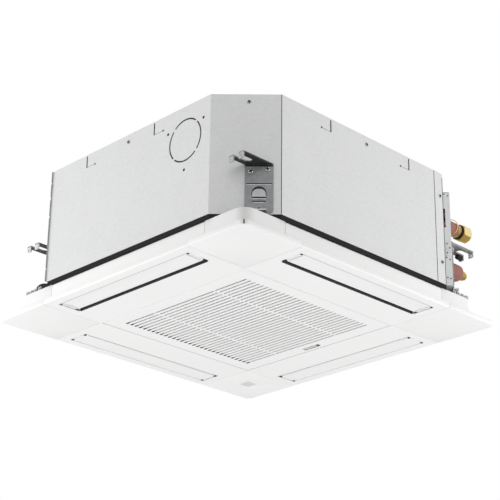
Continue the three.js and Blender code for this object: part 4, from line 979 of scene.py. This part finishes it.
def bracket_solid(name, off, tip, arm_painted_tone, tab_painted_tone):
    """One bent sheet whose arm and tabs take the given painted tones for light and shade, and
    whose foot edge takes a painted highlight.
    """
    bracket = combined(bracket_arm(off, tip), bracket_plate(off), "UNION")
    bracket.name = bracket.data.name = name
    softened(bracket, 0.45)
    coated(bracket, "bracket")
    sheet = BRACKET_SHEET
    # The arm's underside and sides in the given tone: painted shade on three brackets.
    painted(
        bracket,
        arm_painted_tone,
        lambda middle, normal: -0.5 < middle.z < sheet - 0.1
        and normal.z < 0.3
        and middle.y > sheet - tip,
    )
    # The tabs in the given paler tone: painted light.
    painted(
        bracket, tab_painted_tone, lambda middle, normal: middle.y < sheet - tip + 0.1 and middle.z < 0.2
    )
    # A pale band along the foot's lower edge: painted highlight.
    painted(
        bracket,
        "bracket_painted_highlight",
        lambda middle, normal: middle.z < -81 and middle.x - middle.y > 2 * CHAMFER_MIDDLE + 12,
    )
    return bracket


def make_brackets():
    fork_reach = 8
    reach, stood_reach = BRACKET_TIP + fork_reach, BRACKET_TIP + STAND_OFF
    # Three brackets get painted shade under their arms and the stood-off one keeps the sheet's
    # tone there; all get painted light on their tabs.
    plain = bracket_solid("bracket", 0, reach, "bracket_shade", "bracket_painted_highlight")
    near = bracket_solid("bracket_near", 0, reach, "bracket_shade", "bracket_midgrey_and_painted_light")
    stood_off = bracket_solid("bracket_off", STAND_OFF, stood_reach, "bracket", "bracket_painted_highlight")
    copies = {
        "front_right": copied(near, "bent_bracket_front_right", Matrix.Identity(4)),
        "front_left": mirrored(plain, "bent_bracket_front_left", MIRROR_X),
        "back_left": copied(plain, "bent_bracket_back_left", quarter_turns(2)),
        "back_right": mirrored(stood_off, "bent_bracket_back_right", MIRROR_Y),
    }
    for corner, piece in copies.items():
        finished(piece, stands_for=["hanger_bracket_" + corner])
    removed(plain, near, stood_off)


# -------- bracket pressings
def pressed_ribs():
    """Ribs under the window, its tongue and the lip below the groove."""
    middle = BRACKET_MIDDLE
    parts = []
    for rise, half, height in ((-56.2, 11.6, 1.5), (-60.6, 11.4, 1.9), (-67.6, 8.2, 1.7)):
        rib = block(
            "rib", (middle - half, -3.5, rise - height / 2), (middle + half, -2, rise + height / 2)
        )
        round_edges(rib, lambda at, along: along_x(at, along) and at.y < -3, 0.6, 3)
        parts.append(rib)
    lip = block("lip", (middle - 20.5, -3.1, -36.3), (middle + 20.5, -2, -35))
    round_edges(lip, lambda at, along: along_x(at, along) and at.y < -3, 0.5, 3)
    parts.append(lip)
    return joined("ribs", parts)


def window_tongue():
    """Arched tongue that stands in the window, short of its top."""
    middle = BRACKET_MIDDLE
    tongue = block("tongue", (middle - 10.9, -1.9, -55.6), (middle + 10.9, -1, -42.6))
    round_edges(tongue, lambda at, along: along_y(at, along) and at.z > -43, 9, 10)
    return softened(tongue, 0.2)


def painted_shade_and_rivets():
    """Painted shade: dark pieces behind the window, in the groove, between the ribs and under the
    arm's bend; and two rivets by the foot.
    """
    middle = BRACKET_MIDDLE
    behind = rod("behind", 12.4, (middle, -0.95, -50.5), (middle, -0.35, -50.5), 40)
    parts = [behind]
    groove = ((middle - 20.8, -1.9, -34.7), (middle + 20.8, -1.5, -33.1))
    for low, high in (
        groove,
        ((middle - 11.6, -2.75, -59.7), (middle + 11.6, -2.3, -57)),
        ((middle - 11, -2.75, -65.6), (middle + 11, -2.3, -63.9)),
        ((middle - 22.6, -2.75, -3.9), (middle + 22.6, -2.3, -0.2)),
    ):
        gap = block("gap", low, high)
        round_edges(gap, along_y, 0.6, 3)
        parts.append(gap)
    for across, rise in ((21.5, -77.5), (31.2, -80.6)):
        rivet = turned(
            "rivet", [(2, 2.3), (3.1, 2.1), (3.9, 1.2)], (across, 0, rise), (0, -1, 0), 16
        )
        parts.append(rivet)
    return joined("gaps", parts)


def make_pressings():
    parts = (
        # The ribs take the pale tone as a painted highlight and the tongue the mid grey as painted
        # light.
        (pressed_ribs(), "pressed_ribs_", "bracket_painted_highlight"),
        (window_tongue(), "window_tongue_", "bracket_midgrey_and_painted_light"),
        # Dark pieces for the shade in the bracket's gaps: painted shade.
        (painted_shade_and_rivets(), "painted_shade_and_rivets_", "rubber"),
    )
    stood_off = moved(STAND_OFF / DIAGONAL, -STAND_OFF / DIAGONAL, 0)
    for piece, label, finish in parts:
        at_chamfer(piece)
        copies = (
            copied(piece, label + "front_right", Matrix.Identity(4)),
            mirrored(piece, label + "front_left", MIRROR_X),
            copied(piece, label + "back_left", quarter_turns(2)),
            mirrored(piece, label + "back_right", MIRROR_Y @ stood_off),
        )
        for twin in copies:
            dressed(twin, finish)
        removed(piece)


# -------- pipes
def pipe_line(low, high):
    """Where a pipe's own line crosses the unit's middle, and how far out it ends."""
    middle = middle_of(low, high)
    return (middle.x, 0, middle.z), high.y


def rings(start, count, pitch, crest, width, root):
    """Profile of a row of turned rings, each a flat crest and a slope to the root."""
    profile = []
    for ring in range(count):
        at = start + pitch * ring
        profile += [(at, crest), (at + width, crest), (at + width + root[0], root[1])]
    return profile


def make_gas_fittings():
    """Sleeve, collar, seal ring, hexagonal nut and tie of the larger pipe, outward along +Y."""
    place, tip = pipe_line(nut_low, nut_high)
    end = tip - 38
    profile = [(tip - 70, 12), (tip - 69, 13), (end - 1.2, 13), (end - 0.3, 12.5)]
    profile += [(end, 11.5), (end, 8.3), (tip - 69, 8.3)]
    sleeve = turned("gas_sleeve", profile, place, OUT_BACK)
    dressed(sleeve, "sleeve", stands_for=["gas_pipe_sleeve"])
    profile = [(tip - 43, 9.4), (end - 0.4, 9.4), (end - 0.4, 11)]
    profile += rings(end + 0.8, 3, 2.7, 12.2, 1, (0.5, 10.9))
    profile += [(end + 9, 10.9), (end + 9, 9.5), (tip - 10, 9.5)]
    collar = turned("gas_collar", profile, place, OUT_BACK)
    dressed(collar, "brass", stands_for=["gas_pipe_union"])
    seat = end + 9.2
    profile = [(seat, 10.8), (seat + 0.3, 13), (seat + 1.8, 14), (seat + 3.4, 13)]
    profile += [(seat + 3.6, 9.9), (seat, 9.9)]
    dressed(turned("gas_seal_ring", profile, place, OUT_BACK), "rubber")
    back = tip - 25
    nut = turned("gas_hex_nut", [(back, 16.74), (tip, 16.74)], place, OUT_BACK, 6)
    profile = [(back - 0.1, 14.2), (back + 1.9, 16.4), (tip - 5.6, 16.4), (tip - 4, 14.8)]
    profile += [(tip - 3.6, 12.8), (tip, 12.2), (tip + 0.1, 12.2)]
    combined(nut, turned("envelope", profile, place, OUT_BACK), "INTERSECT")
    profile = [(back - 1, 9.8), (tip - 9.6, 9.8), (tip - 9.6, 8), (tip + 1, 8)]
    combined(nut, turned("bore", profile, place, OUT_BACK), "DIFFERENCE")
    softened(nut, 0.4)
    coated(nut, "brass")

    def catches_light(middle, normal):
        return abs(normal.y) < 0.3 and -0.75 < normal.z < 0.3 or normal.y > 0.8

    # The nut's faces that don't face up, and its end face, get pale brass: a painted highlight.
    painted(nut, "brass_painted_highlight", catches_light)
    finished(nut, stands_for=["gas_flare_nut"])
    clear_selection()
    bpy.ops.mesh.primitive_torus_add(
        major_radius=15.2 * MM,
        minor_radius=0.8 * MM,
        major_segments=48,
        minor_segments=10,
        location=metres((place[0], end - 11, place[2] + 2)),
        rotation=(QUARTER, 0, 0.25),
    )
    # The wire tie is wholly in the pale brass of the painted highlight.
    dressed(added("gas_wire_tie"), "brass_painted_highlight", smooth=60)


def make_liquid_fittings():
    """Rounded sleeve and stepped union of the smaller pipe, outward along +Y."""
    place, tip = pipe_line(liquid_low, liquid_high)
    shoulder = tip - 16
    profile = [(tip - 62, 14.8), (tip - 61, 15.8), (shoulder - 9, 15.8)]
    for step in range(1, 7):
        turn = QUARTER * step / 6
        profile.append((shoulder - 9 + 9 * math.sin(turn), 7.2 + 8.6 * math.cos(turn)))
    profile += [(shoulder - 8.2, 7.2), (shoulder - 8.4, 5.2), (tip - 61, 5.2)]
    sleeve = turned("liquid_sleeve", profile, place, OUT_BACK)
    dressed(sleeve, "sleeve", stands_for=["liquid_pipe_sleeve"])
    profile = [(shoulder - 8, 6.8), (shoulder + 0.4, 6.8), (shoulder + 0.4, 8.4)]
    profile += rings(shoulder + 1.2, 4, 2.3, 8.8, 0.9, (0.4, 8.1))
    profile += [(tip - 6, 8.8), (tip - 5.4, 8.2), (tip - 5.4, 6.8), (tip - 0.5, 6.8)]
    profile += [(tip, 6.3), (tip, 3.2), (tip - 12, 3.2)]
    union = turned("liquid_union", profile, place, OUT_BACK)
    dressed(union, "brass", stands_for=["liquid_flare_union"])


def make_drain_outlet():
    """Black drain stub with a turned rim, outward along +Y."""
    place, tip = pipe_line(spigot_low, spigot_high)
    profile = [(spigot_low.y, 9), (tip - 30, 9), (tip - 30, 11.6), (tip - 29.6, 12)]
    profile += [(tip - 10.6, 12), (tip - 10, 11.4), (tip - 10, 9), (tip - 1, 9)]
    profile += [(tip, 8.2), (tip, 7), (tip - 26, 7)]
    stub = turned("drain_stub", profile, place, OUT_BACK)
    dressed(stub, "rubber", stands_for=["drain_spigot"])


# -------- cuts in the sheets
def front_strip(name, start, end, width):
    """A dark strip between two (across, up) points, seen in the front face's plane: a slit shown
    by the dark lining behind it with painted shade.
    """
    start, end = Vector(start), Vector(end)
    half = width / 2
    low = (min(start.x, end.x) - half, -CASING_HALF - 0.15, min(start.y, end.y) - half)
    high = (max(start.x, end.x) + half, -CASING_HALF + 0.7, max(start.y, end.y) + half)
    strip = block(name, low, high)
    round_edges(strip, along_y, half * 0.7, 3)
    return strip


def front_dot(across, up, radius):
    return turned(
        "dot",
        [(-0.7, radius), (0.1, radius), (0.2, radius * 0.6)],
        (across, -CASING_HALF, up),
        (0, -1, 0),
        16,
    )


def knock_out_gap():
    """The knock-out's ring, held at four bridges, and its three holes, as dark pieces with painted
    shade.
    """
    across, up, radius = 145.6, 65.5, 37.5
    middle = Vector((across, -CASING_HALF, up))
    deep, out = Vector((0, 0.7, 0)), Vector((0, -0.15, 0))
    ring = rod("ring", radius + 1.25, middle + deep, middle + out, 96)
    inside = rod("inside", radius - 1.25, middle + 2 * deep, middle + 9 * out, 96)
    combined(ring, inside, "DIFFERENCE")
    for turn in (QUARTER / 2, -QUARTER / 2):
        bridge = block("bridge", (-60, -3, -2.6), (60, 3, 2.6))
        bridge.matrix_world = moved(*middle) @ Matrix.Rotation(turn, 4, "Y")
        combined(ring, settle(bridge), "DIFFERENCE")
    holes = [(43.4, 26), (-42.7, 25.4), (-0.8, -54)]
    return [ring] + [front_dot(across + x, up + z, 2.6) for x, z in holes]


def hook_cut(across, toward):
    """An upright slit near the top and the hole that ends its level slit."""
    return [
        front_strip("slit", (across, 104), (across, 124), 2.6),
        front_dot(across + toward * 22.5, 103.4, 1.9),
    ]


def make_sheet_cuts():
    """Dark slits and holes of all four faces, drawn as dark pieces for the lining behind with
    painted shade, and the seams of the cut corners' sheets.
    """
    front = hook_cut(67, 1) + hook_cut(-112, 1)
    side = hook_cut(-89.5, -1) + hook_cut(112.3, -1)
    front, side = joined("front_cuts", front), joined("side_cuts", side)
    pieces = [front, copied(front, "left_cuts", quarter_turns(3))]
    pieces.append(copied(side, "right_cuts", quarter_turns(1)))
    pieces.append(copied(side, "back_cuts", quarter_turns(2)))
    removed(side)
    pieces += knock_out_gap()
    foot, top = casing_low.z + 0.3, CASING_TOP - 0.3
    seam = block("seam", (56.6, -0.18, foot), (57.7, 0.6, top))
    at_chamfer(seam)
    for turns in (0, 2, 3):
        pieces.append(copied(seam, "corner_seam", quarter_turns(turns)))
    removed(seam)
    strip_seam = block(
        "strip_seam", (CASING_HALF - 0.6, 181.4, foot), (CASING_HALF + 0.15, 182.8, top)
    )
    fold = block("fold", (CASING_HALF - 0.6, 203.9, foot), (CASING_HALF + 0.15, 205.3, top - 8))
    pieces.append(fold)
    tray_holes = ((3.2, 93), (9.8, 90), (3.6, 30), (3.4, -30), (9.6, -34), (4, -68), (9.4, -70))
    plate_holes = ((5, -4), (9.5, -12), (5, -21))
    for out, rise in tray_holes + plate_holes:
        reach, side = out / DIAGONAL, TRAY_HALF / DIAGONAL
        proud = 1.05 if (out, rise) in plate_holes else 0.25
        place = (CHAMFER_MIDDLE + side + reach, CHAMFER_MIDDLE - side + reach, rise)
        pieces.append(turned("tray_hole", [(-0.7, 1.3), (proud, 1.3)], place, (1, -1, 0), 12))
    back_seam = copied(strip_seam, "back_seam", quarter_turns(1) @ MIRROR_Y)
    pieces += [strip_seam, back_seam]
    cuts = faced_outward(joined("sheet_cuts", pieces))
    # Slits and holes are dark pieces on the sheet: the dark lining behind and painted shade.
    dressed(cuts, "rubber")


# -------- corner fixings
def fixing_clips(name):
    """Four small folded sheet clips in a row along the front left skirt's rim."""
    clip = block("clip", (-274, -281.6, -99), (-266, -275, -97.8))
    upright = block("upright", (-274, -281.4, -98.5), (-266, -280.2, -86.5))
    combined(clip, upright, "UNION")
    ear = block("ear", (-274, -281, -87.7), (-269.5, -275.5, -86.5))
    combined(clip, ear, "UNION")
    hole = rod("hole", 1.8, (-268.6, -284, -90.3), (-268.6, -278, -90.3), 16)
    combined(clip, hole, "DIFFERENCE")
    softened(clip, 0.25)
    row_of(clip, 4, (11.5, 0, 0.2))
    clip.name = clip.data.name = name
    return clip


def on_left_corner(piece, name, edge, finish):
    """Mirrors a piece made for the front right cut corner onto the left one and finishes it."""
    at_chamfer(piece)
    dressed(softened(mirrored(piece, name, MIRROR_X), edge), finish)
    removed(piece)


def make_corner_fixings():
    """Clips and black end seal by the left and right corners, and the casing's joint flange in
    painted shade with a bead of painted highlight.
    """
    across = Matrix(((0, -1, 0, 0), (-1, 0, 0, 0), (0, 0, 1, 0), (0, 0, 0, 1)))
    clips = fixing_clips("fixing_clips_left")
    dressed(mirrored(clips, "fixing_clips_right", across), "bracket_midgrey_and_painted_light")
    dressed(clips, "bracket_midgrey_and_painted_light")
    bulge = block("end_seal_left", (-22, -25, -96), (-12, -0.4, -75))
    round_edges(bulge, lambda at, along: along_x(at, along) and at.z > -76 and at.y < -10, 14, 10)
    on_left_corner(bulge, "end_seal", 0.6, "rubber")
    foot, top = casing_low.z + 0.3, CASING_TOP - 1
    flange = block("joint_flange", (-57.6, -4.9, foot), (-56.2, 0.3, top))
    for rise, height in ((-62, 3), (-24, 5), (38, 4), (74, 6), (104, 3)):
        notch = block("notch", (-60, -6, rise - height / 2), (-50, -3.9, rise + height / 2))
        combined(flange, notch, "DIFFERENCE")
    # The flange in the darker bracket tone: painted shade.
    on_left_corner(flange, "joint_flange_left", 0.2, "bracket")
    # A pale bead along the flange: painted highlight.
    bead = block("bead", (-58, -1.7, foot), (-55.8, 0.2, top))
    on_left_corner(bead, "joint_bead_left", 0.3, "bracket_painted_highlight")
    profile = [(274, 3.4), (275, 4.8), (288.2, 5.4), (289.4, 4.4)]
    cap = turned("rubber_cap", profile, (259.6, 0, -3.4), OUT_BACK, 24)
    dressed(cap, "rubber")
    side = TRAY_HALF
    foot_plate = block("foot_plate", (side - 0.4, 2.5, -27), (side + 0.9, 12.5, 1))
    softened(foot_plate, 0.25)
    turn = moved(CHAMFER_MIDDLE, CHAMFER_MIDDLE, 0) @ quarter_turns(-0.5)
    # The foot plate in the pale tone: painted highlight.
    dressed(mirrored(foot_plate, "bracket_foot_plate", turn), "bracket_painted_highlight")
    removed(foot_plate)


# -------- air outlets
def make_outlet_details():
    """Guide comb of each outlet, white lip and four soft pads of each vane, and painted shadow
    along the slot and outer gap and painted shade lines by the vane ends of the front and right
    outlets.
    """
    wall, face = 245, FACE_Z
    comb = block("comb", (-161, -wall - 0.35, face + 0.3), (161, -wall + 0.4, face + 7))
    tooth = block("tooth", (-160, -wall - 0.75, face + 0.6), (-158.4, -wall - 0.2, face + 6.6))
    round_edges(tooth, along_z, 0.2, 2)
    row_of(tooth, 66, (4.9, 0, 0))
    combs = joined("comb", [comb, tooth])
    inner, outer, end = 250.8, 289.9, 162.7
    lip = block("lip", (-end + 2.4, -2.2, -0.4), (end - 2.4, 2.2, 0.4))
    softened(lip, 0.3)
    lip_slope = 0.61
    lip.matrix_world = moved(0, -249.3, face + 3) @ Matrix.Rotation(lip_slope, 4, "X")
    settle(lip)
    # A black strip along the slot's edge and a dark wedge at each end: painted shadow.
    rim = block("rim", (-160.5, -wall - 0.2, face - 0.12), (160.5, 1.7 - wall, face + 0.8))
    round_edges(rim, along_z, 0.7, 3)
    # A grey line along the outer gap: painted shadow.
    outer_painted_shadow = block(
        "outer_painted_shadow", (-end, -outer - 0.9, face - 0.1), (end, 0.1 - outer, face + 0.6)
    )
    round_edges(outer_painted_shadow, along_z, 0.4, 2)
    slot_parts, gap_parts = [rim], []
    for x in (-1, 1):
        corner = (x * 159, -wall - 1.2, face)
        slot_parts.append(turned("wedge", [(-0.5, 3.6), (0.12, 3.6)], corner, (0, 0, -1), 3))
    slot_painted_shadow = joined("slot_painted_shadow", slot_parts)
    # A grey line near each end of the vane: painted shade.
    for x in (-1, 1):
        low = (x * (end - 6.6) - 0.35, -outer + 4, face - 0.1)
        high = (x * (end - 6.6) + 0.35, -inner - 5, face + 0.5)
        gap_parts.append(block("end_gap", low, high))
    end_painted_shade_lines = joined("end_painted_shade_lines", gap_parts)
    pads = []
    for x in (-1, 1):
        for y in (inner + 1.9, outer - 2.1):
            middle = Vector((x * (end - 1.9), -y, face + 0.9))
            half = Vector((1.9, 1.9, 1.05))
            pad = block("pad", middle - half, middle + half)
            round_edges(pad, along_z, 0.8, 3)
            pads.append(pad)
    pads = joined("pads", pads)
    for turns, side in enumerate(("front", "right", "back", "left")):
        turn, vane = quarter_turns(turns), "vane_" + side
        dressed(copied(combs, "guide_comb_" + side, turn), "fan")
        dressed(copied(lip, "vane_lip_" + side, turn), "vane", body=vane)
        dressed(copied(pads, "vane_pads_" + side, turn), "rubber", body=vane)
        # Only the front and right outlets get the painted shadow and shade lines.
        if side in ("front", "right"):
            dressed(copied(slot_painted_shadow, "slot_painted_shadow_" + side, turn), "rubber")
            dressed(copied(outer_painted_shadow, "outer_painted_shadow_" + side, turn), "mesh")
            gaps = copied(end_painted_shade_lines, "end_painted_shade_lines_" + side, turn)
            dressed(gaps, "window", body=vane)
    removed(combs, lip, pads, slot_painted_shadow, outer_painted_shadow, end_painted_shade_lines)


# -------- intake grille
def make_grille_details():
    """Painted shade at the slots' ends and in the latch's recess along its side and end, and a
    seal along two sides.
    """
    # Dark pockets at the slots' ends: painted shade.
    pocket = block("slot_end_painted_shade", (-151.6, -150.9, FACE_Z - 0.1), (-145.6, -146.4, FACE_Z + 1.6))
    round_edges(pocket, lambda at, along: along_z(at, along) and at.x > -146, 1.4, 4)
    row_of(pocket, 31, (0, 9.9, 0))
    dressed(pocket, "rubber", body="grille")
    seal = block("seal", (-181, -178, FACE_Z - 0.1), (-180.1, 181, FACE_Z + 5))
    back_seal = block("back_seal", (-181, 180.1, FACE_Z - 0.1), (178, 181, FACE_Z + 5))
    dressed(softened(joined("grille_seal", [seal, back_seal]), 0.15), "mesh")
    slot_middle = 167.5
    # Dark strips along the latch recess's side and end: painted shade.
    groove = block(
        "latch_side_shade", (-20, slot_middle + 3.4, FACE_Z - 0.1), (14, slot_middle + 4.5, FACE_Z + 1)
    )
    stop = block(
        "latch_end_shade", (13.4, slot_middle - 4, FACE_Z - 0.12), (16.6, slot_middle + 4.5, FACE_Z + 1)
    )
    marks = softened(joined("latch_painted_shade", [groove, stop]), 0.1)
    dressed(marks, "rubber", body="grille")


# -------- receiver window
def make_receiver():
    """Square light grey window with a sunk middle, in the back left cover."""
    low, high = window_low, window_high
    inset = 1.6
    pane = block(
        "receiver_pane",
        (low.x + inset, low.y + inset, low.z),
        (high.x - inset, high.y - inset, high.z - 2),
    )
    choose(pane, "FACE", lambda middle, normal: normal.z < -0.9)
    bpy.ops.mesh.inset(thickness=2.2 * MM, depth=0)
    bpy.ops.mesh.inset(thickness=0.5 * MM, depth=-0.5 * MM)
    bpy.ops.object.mode_set(mode="OBJECT")
    back = block("back", (low.x, low.y, high.z - 2), (high.x, high.y, high.z))
    combined(pane, back, "UNION")
    softened(pane, 0.25)
    dressed(pane, "window", stands_for=["receiver_window"])


# -------- operators
class CASSETTE_OT_stage(bpy.types.Operator):
    """Camera, world, lamps and pale floor"""

    bl_idname = "cassette.stage"
    bl_label = "Stage"

    def execute(self, context):
        stage = context.scene.cassette_stage
        context.scene.view_settings.view_transform = "Standard"
        photo_camera(stage)
        studio_world(stage.ambient)
        pale_floor(stage.floor_depth)
        soft_lamp("left_lamp", (-0.9, -1.35, -0.35), (0, 0, 0), 1.0, stage.side_power)
        soft_lamp("right_lamp", (1.35, 0.9, -0.35), (0, 0, 0), 1.0, 0.82 * stage.side_power)
        soft_lamp("low_lamp", (0.3, -0.3, -2.9), (0, 0, 0), 2.6, stage.low_power)
        return {"FINISHED"}


class CASSETTE_OT_finishes(bpy.types.Operator):
    """Shared effects, one material for each finish, and the CAD nodes' materials"""

    bl_idname = "cassette.finishes"
    bl_label = "Finishes"

    def execute(self, context):
        for make_group in (soft_edges_group, spangle_group, grain_group, drawn_group, cells_group):
            make_group()
        make_finishes(context.scene.cassette_colours)
        finish_nodes()
        return {"FINISHED"}


class CASSETTE_OT_corner_covers(bpy.types.Operator):
    """Four smooth corner covers of the panel"""

    bl_idname = "cassette.corner_covers"
    bl_label = "Corner covers"

    def execute(self, context):
        make_corner_covers(in_millimetres(context.scene.cassette_covers))
        return {"FINISHED"}


class CASSETTE_OT_screws(bpy.types.Operator):
    """Screw heads in the casing sheets and brackets"""

    bl_idname = "cassette.screws"
    bl_label = "Screws"

    def execute(self, context):
        make_screws(in_millimetres(context.scene.cassette_screws))
        return {"FINISHED"}


class CASSETTE_OT_brackets(bpy.types.Operator):
    """Four bent hanger brackets with their ribs and tongues in painted light, and painted shade in
    their gaps
    """

    bl_idname = "cassette.brackets"
    bl_label = "Hanger brackets"

    def execute(self, context):
        make_brackets()
        make_pressings()
        return {"FINISHED"}


class CASSETTE_OT_pipes(bpy.types.Operator):
    """Sleeves, unions, nut and drain stub at the piping corner"""

    bl_idname = "cassette.pipes"
    bl_label = "Pipe fittings"

    def execute(self, context):
        make_gas_fittings()
        make_liquid_fittings()
        make_drain_outlet()
        return {"FINISHED"}


class CASSETTE_OT_receiver(bpy.types.Operator):
    """Receiver window in the back left corner cover"""

    bl_idname = "cassette.receiver"
    bl_label = "Receiver window"

    def execute(self, context):
        make_receiver()
        return {"FINISHED"}


class CASSETTE_OT_sheet_cuts(bpy.types.Operator):
    """Dark slits and holes of the casing's sheets in painted shade, and their seams"""

    bl_idname = "cassette.sheet_cuts"
    bl_label = "Sheet cuts"

    def execute(self, context):
        make_sheet_cuts()
        return {"FINISHED"}


class CASSETTE_OT_corner_fixings(bpy.types.Operator):
    """Clips, end seal, joint flange, cap and foot plate at the casing's corners"""

    bl_idname = "cassette.corner_fixings"
    bl_label = "Corner fixings"

    def execute(self, context):
        make_corner_fixings()
        return {"FINISHED"}


class CASSETTE_OT_outlets(bpy.types.Operator):
    """Guide combs of the four outlets, painted shadow and shade at two of them, and lips and pads
    of their vanes
    """

    bl_idname = "cassette.outlets"
    bl_label = "Air outlets"

    def execute(self, context):
        make_outlet_details()
        return {"FINISHED"}


class CASSETTE_OT_grille(bpy.types.Operator):
    """Painted shade at the slot ends and the latch, and the seal of the intake grille"""

    bl_idname = "cassette.grille"
    bl_label = "Intake grille"

    def execute(self, context):
        make_grille_details()
        return {"FINISHED"}


STEPS = (
    CASSETTE_OT_finishes,
    CASSETTE_OT_stage,
    CASSETTE_OT_corner_covers,
    CASSETTE_OT_screws,
    CASSETTE_OT_brackets,
    CASSETTE_OT_pipes,
    CASSETTE_OT_receiver,
    CASSETTE_OT_sheet_cuts,
    CASSETTE_OT_corner_fixings,
    CASSETTE_OT_outlets,
    CASSETTE_OT_grille,
)
GROUPS = {
    "cassette_covers": CoverSizes,
    "cassette_screws": ScrewSizes,
    "cassette_colours": FinishColours,
    "cassette_stage": StageSettings,
}


class CASSETTE_PT_panel(bpy.types.Panel):
    """Lists the steps and their settings"""

    bl_idname = "CASSETTE_PT_panel"
    bl_label = "Ceiling cassette"
    bl_space_type = "VIEW_3D"
    bl_region_type = "UI"
    bl_category = "Cassette"

    def draw(self, context):
        for step in STEPS:
            self.layout.operator(step.bl_idname)
        for name, group in GROUPS.items():
            box = self.layout.box()
            for setting in group.__annotations__:
                box.prop(getattr(context.scene, name), setting)


def register():
    for group in GROUPS.values():
        bpy.utils.register_class(group)
    for step in (*STEPS, CASSETTE_PT_panel):
        bpy.utils.register_class(step)
    for name, group in GROUPS.items():
        setattr(bpy.types.Scene, name, bpy.props.PointerProperty(type=group))


def unregister():
    for name in GROUPS:
        delattr(bpy.types.Scene, name)
    for step in (CASSETTE_PT_panel, *reversed(STEPS)):
        bpy.utils.unregister_class(step)
    for group in reversed(GROUPS.values()):
        bpy.utils.unregister_class(group)


def main():
    register()
    for step in STEPS:
        family, action = step.bl_idname.split(".")
        getattr(getattr(bpy.ops, family), action)()


if __name__ == "__main__":
    main()
